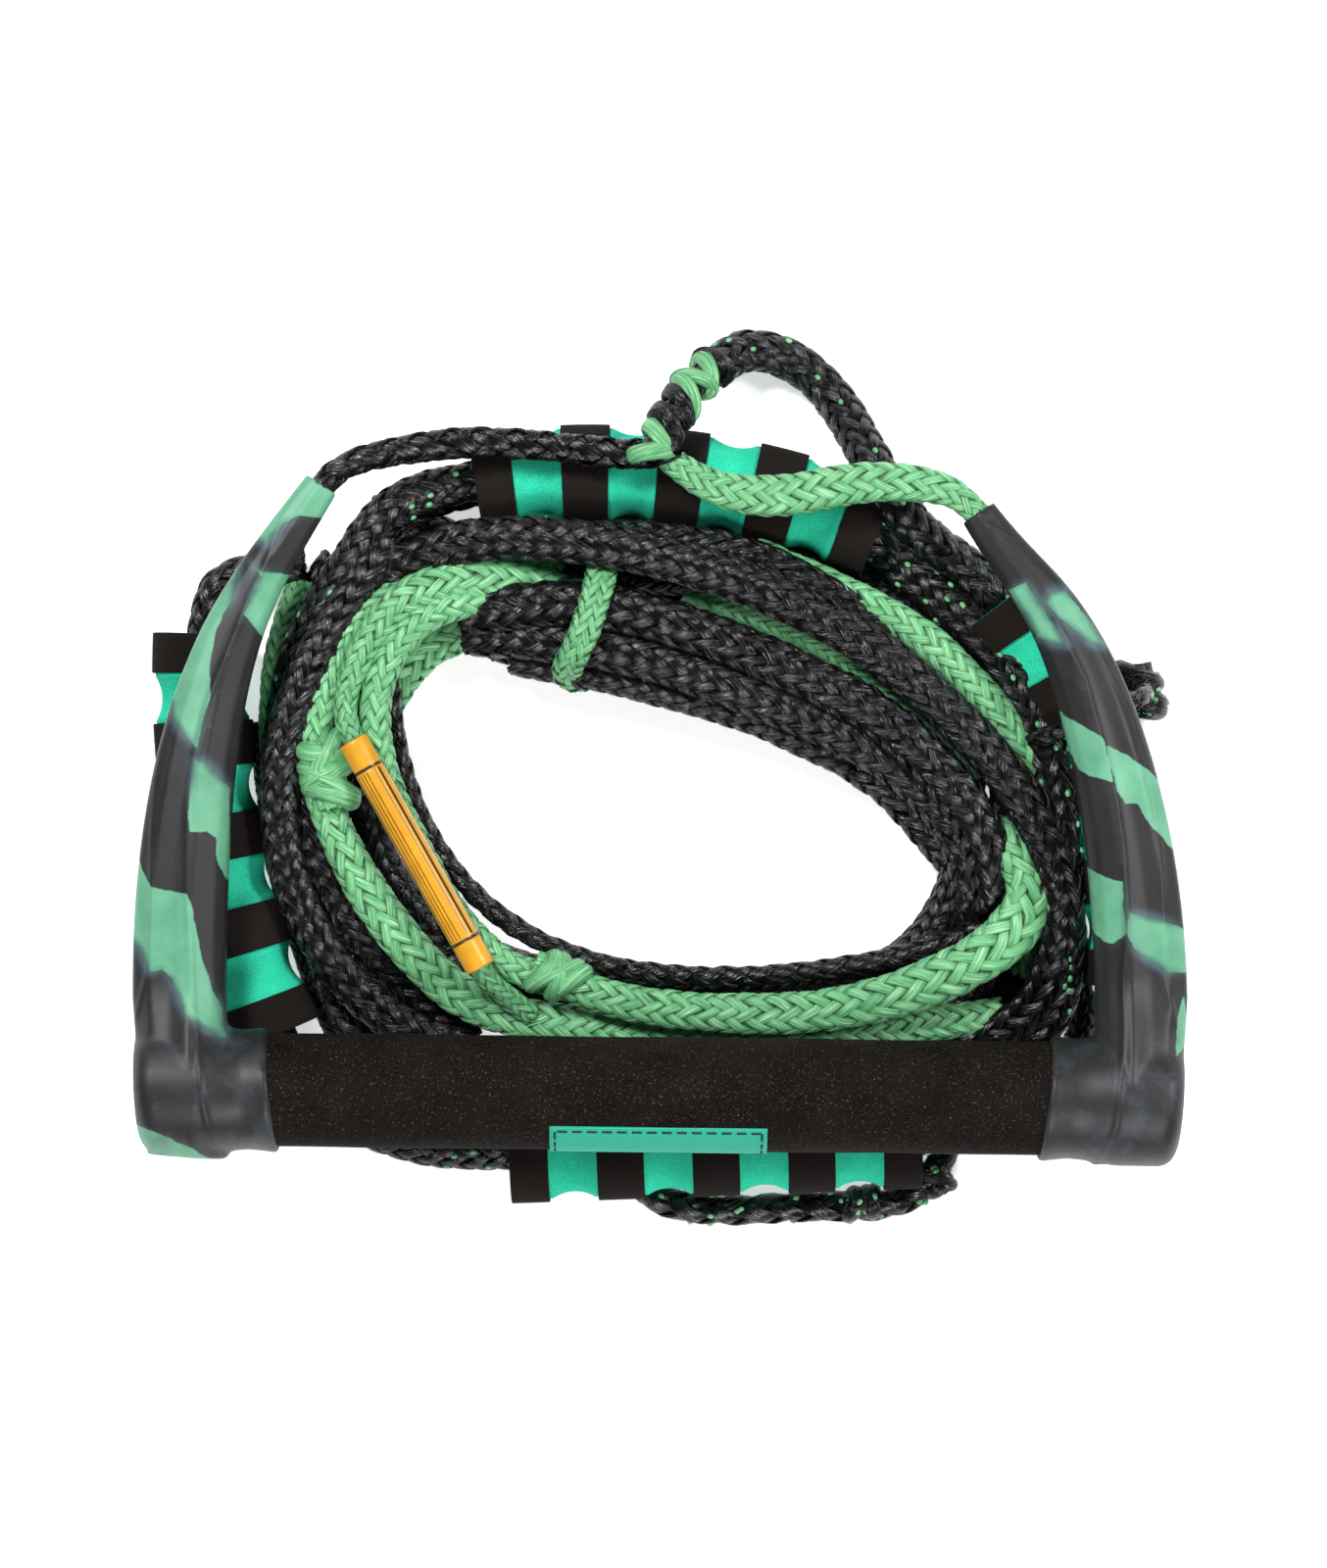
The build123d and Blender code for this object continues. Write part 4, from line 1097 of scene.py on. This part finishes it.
def moulded_arm(name, side):
    """A rubber arm: faceted blade, rounded cap and slanting collar in one moulding."""
    bar, along, across = grip_axes()
    along = along * side
    distance, radius = np.array(cap_profile()).T[:, :, None]
    cap = hoops(bar / MM + along * distance, across * radius, UP * radius)
    local = cap - bar / MM
    collar = np.clip((GRIP_LENGTH / 2 + COLLAR_LENGTH + 4 - local @ along) / COLLAR_LENGTH, 0, 1)
    cap += along * ((0.10 * (local @ across) - 1.9) * collar)[:, :, None]
    parts = Parts()
    for rings in (arm_blade(ARM_STATIONS[name], side), cap):
        parts.add(rings * MM, ring_faces(rings, False))
    piece = parts.build(name + "_rubber_arm", "arm")
    baked(piece, kind="REMESH", mode="VOXEL", voxel_size=0.8 * MM)
    baked(piece, kind="SMOOTH", factor=0.5, iterations=3)
    points = mesh_points(piece)
    local = points - bar / MM
    reach = np.hypot(local @ across, local[:, 2])
    waist = np.exp(-((reach - 22.5) / 5) ** 2) * (local @ across > 8) + \
        0.5 * np.exp(-((local @ along - GRIP_LENGTH / 2 - COLLAR_LENGTH) / 6) ** 2) * (reach > 17)
    group = piece.vertex_groups.new(name="waist")
    for level in range(1, 11):
        chosen = np.flatnonzero(np.round(np.clip(waist, 0, 1) * 10) == level)
        group.add(chosen.tolist(), level / 10, "REPLACE")
    baked(piece, kind="SMOOTH", factor=0.5, iterations=30, vertex_group="waist")
    points = mesh_points(piece)
    up = np.sign(points[:, 2] - HANDLE_Z) * np.clip(np.abs(points[:, 2] - HANDLE_Z) / 7, 0, 1)
    for crest, height in zip(ARM_CRESTS[name], (0.6, 0.4)):
        points[:, 2] += up * height * np.exp(-(line_distance(points[:, :2], crest) / 0.9) ** 2)
    low = np.clip((-58 - points[:, 1]) / 50, 0, 1)
    outer = np.clip((np.abs(points[:, 0]) - 150) / 20, 0, 1)
    points[:, 0] -= side * 3.0 * low * outer
    piece.data.vertices.foreach_set("co", (points * MM).ravel())
    plan = points[:, :2]
    distance = np.max([polygon_distance(plan, outline) for outline in ARM_PATCHES[name]], axis=0)
    near = [np.linalg.norm(plan - spot, axis=1) for spot in ARM_FEATHERS[name]]
    for key, values in (("patch", np.clip(0.5 + distance / 24.0, 0, 1)),
                        ("feather", np.exp(-(np.min(near, axis=0) / 8.0) ** 2)),
                        ("bloom", np.clip((-62 - points[:, 1]) / 10, 0, 1))):
        point_values(piece.data, key, values)
    piece.data.polygons.foreach_set("use_smooth", np.ones(len(piece.data.polygons), bool))
    declare(piece, "handle", name + "_arm", "arm_rubber")


def dress_hidden_nodes():
    """The pieces inside the bar keep their CAD shape and get their materials."""
    finishes = {"grip_tube": "metal", "left_tube_plug": "plastic", "right_tube_plug": "plastic",
                "left_rope_tail": "black_core", "left_stopper_knot": "black_core",
                "right_rope_tail": "green_core", "right_stopper_knot": "green_core"}
    for node, finish in finishes.items():
        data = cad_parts[node].data
        data.materials.clear()
        data.materials.append(MATERIALS[finish])


# ---- studio

CAMERA_PLACE = (0.0002, 0.0114, 1.6446)
CAMERA_LENS = 113.0
FLOOR_REACH = 6.0
FLOOR_GLOW = 0.58
SKY_LIGHT = 0.09
SKY_SEEN = 1.05
# Each soft light: place, side in metres, watts
LIGHTS = [((-0.5, 0.7, 1.3), 0.32, 20.0), ((0.95, 0.3, 1.0), 0.3, 11.0), ((0.1, -1.0, 1.1), 0.4, 11.0)]


def studio():
    """A pale floor that glows to white far off, three soft lights, and the camera straight above."""
    mesh = bpy.data.meshes.new("floor")
    corners = [(x * FLOOR_REACH, y * FLOOR_REACH, 0) for x, y in ((-1, -1), (1, -1), (1, 1), (-1, 1))]
    mesh.from_pydata(corners, [], [(0, 1, 2, 3)])
    floor = shown("floor", mesh)
    floor.location.z = -0.0005
    paper = Nodes("floor_paper", (0.90, 0.90, 0.90), 0.9, 0.1)
    paper.inputs["Emission Color"].default_value = (1, 1, 1, 1)
    reach = paper.add("VectorMath", operation="LENGTH")
    paper.join(paper.position(), reach.inputs[0])
    far = paper.add("MapRange", From_Min=0.35, From_Max=1.3, To_Min=0.0, To_Max=0.5)
    paper.join(reach.outputs["Value"], far.inputs["Value"])
    seen = paper.add("LightPath").outputs["Is Camera Ray"]
    glow = paper.math("ADD", paper.math("MULTIPLY", far.outputs["Result"], seen), FLOOR_GLOW)
    paper.join(glow, paper.inputs["Emission Strength"])
    mesh.materials.append(paper.material)

    world = bpy.data.worlds.new("studio")
    world.use_nodes = True
    tree = world.node_tree
    backdrop = tree.nodes["Background"].inputs
    backdrop["Color"].default_value = (0.95, 0.97, 1.0, 1.0)
    sky = tree.nodes.new("ShaderNodeMapRange")
    sky.inputs["To Min"].default_value = SKY_LIGHT
    sky.inputs["To Max"].default_value = SKY_SEEN
    path = tree.nodes.new("ShaderNodeLightPath")
    tree.links.new(path.outputs["Is Camera Ray"], sky.inputs["Value"])
    tree.links.new(sky.outputs["Result"], backdrop["Strength"])
    bpy.context.scene.world = world

    for index, (where, side, power) in enumerate(LIGHTS):
        light = bpy.data.lights.new("soft_light_%d" % (index + 1), "AREA")
        light.shape = "SQUARE"
        light.size = side
        light.energy = power
        lamp = shown(light.name, light)
        lamp.location = where
        lamp.rotation_euler = (-Vector(where)).to_track_quat("-Z", "Y").to_euler()

    camera = bpy.data.cameras.new("camera")
    camera.lens, camera.sensor_width = CAMERA_LENS, 36.0
    camera.clip_start, camera.clip_end = 0.05, 20.0
    eye = shown("camera", camera)
    eye.location = CAMERA_PLACE
    bpy.context.scene.camera = eye
    bpy.context.scene.view_settings.view_transform = "Standard"


# ---- assembly

studio()

carried = {"tow_line": bridle_wraps()}
for name, (node, carrier, *shape) in KNOTS.items():
    carried.setdefault(carrier, []).append(knot(name, node, *shape))
carried["green_sleeve_turn"] = [label_sleeve()]
for name, line in {**LINES, **LEGS, **TURNS}.items():
    node = "rope_coil" if name in TURNS else name
    rope(name, node=node, with_pieces=carried.get(name, ()), **line)
lower_turns()

for letter in "abcd":
    float_sleeve(letter)
foam_grip()
grip_label()
moulded_arm("left", -1)
moulded_arm("right", 1)
dress_hidden_nodes()
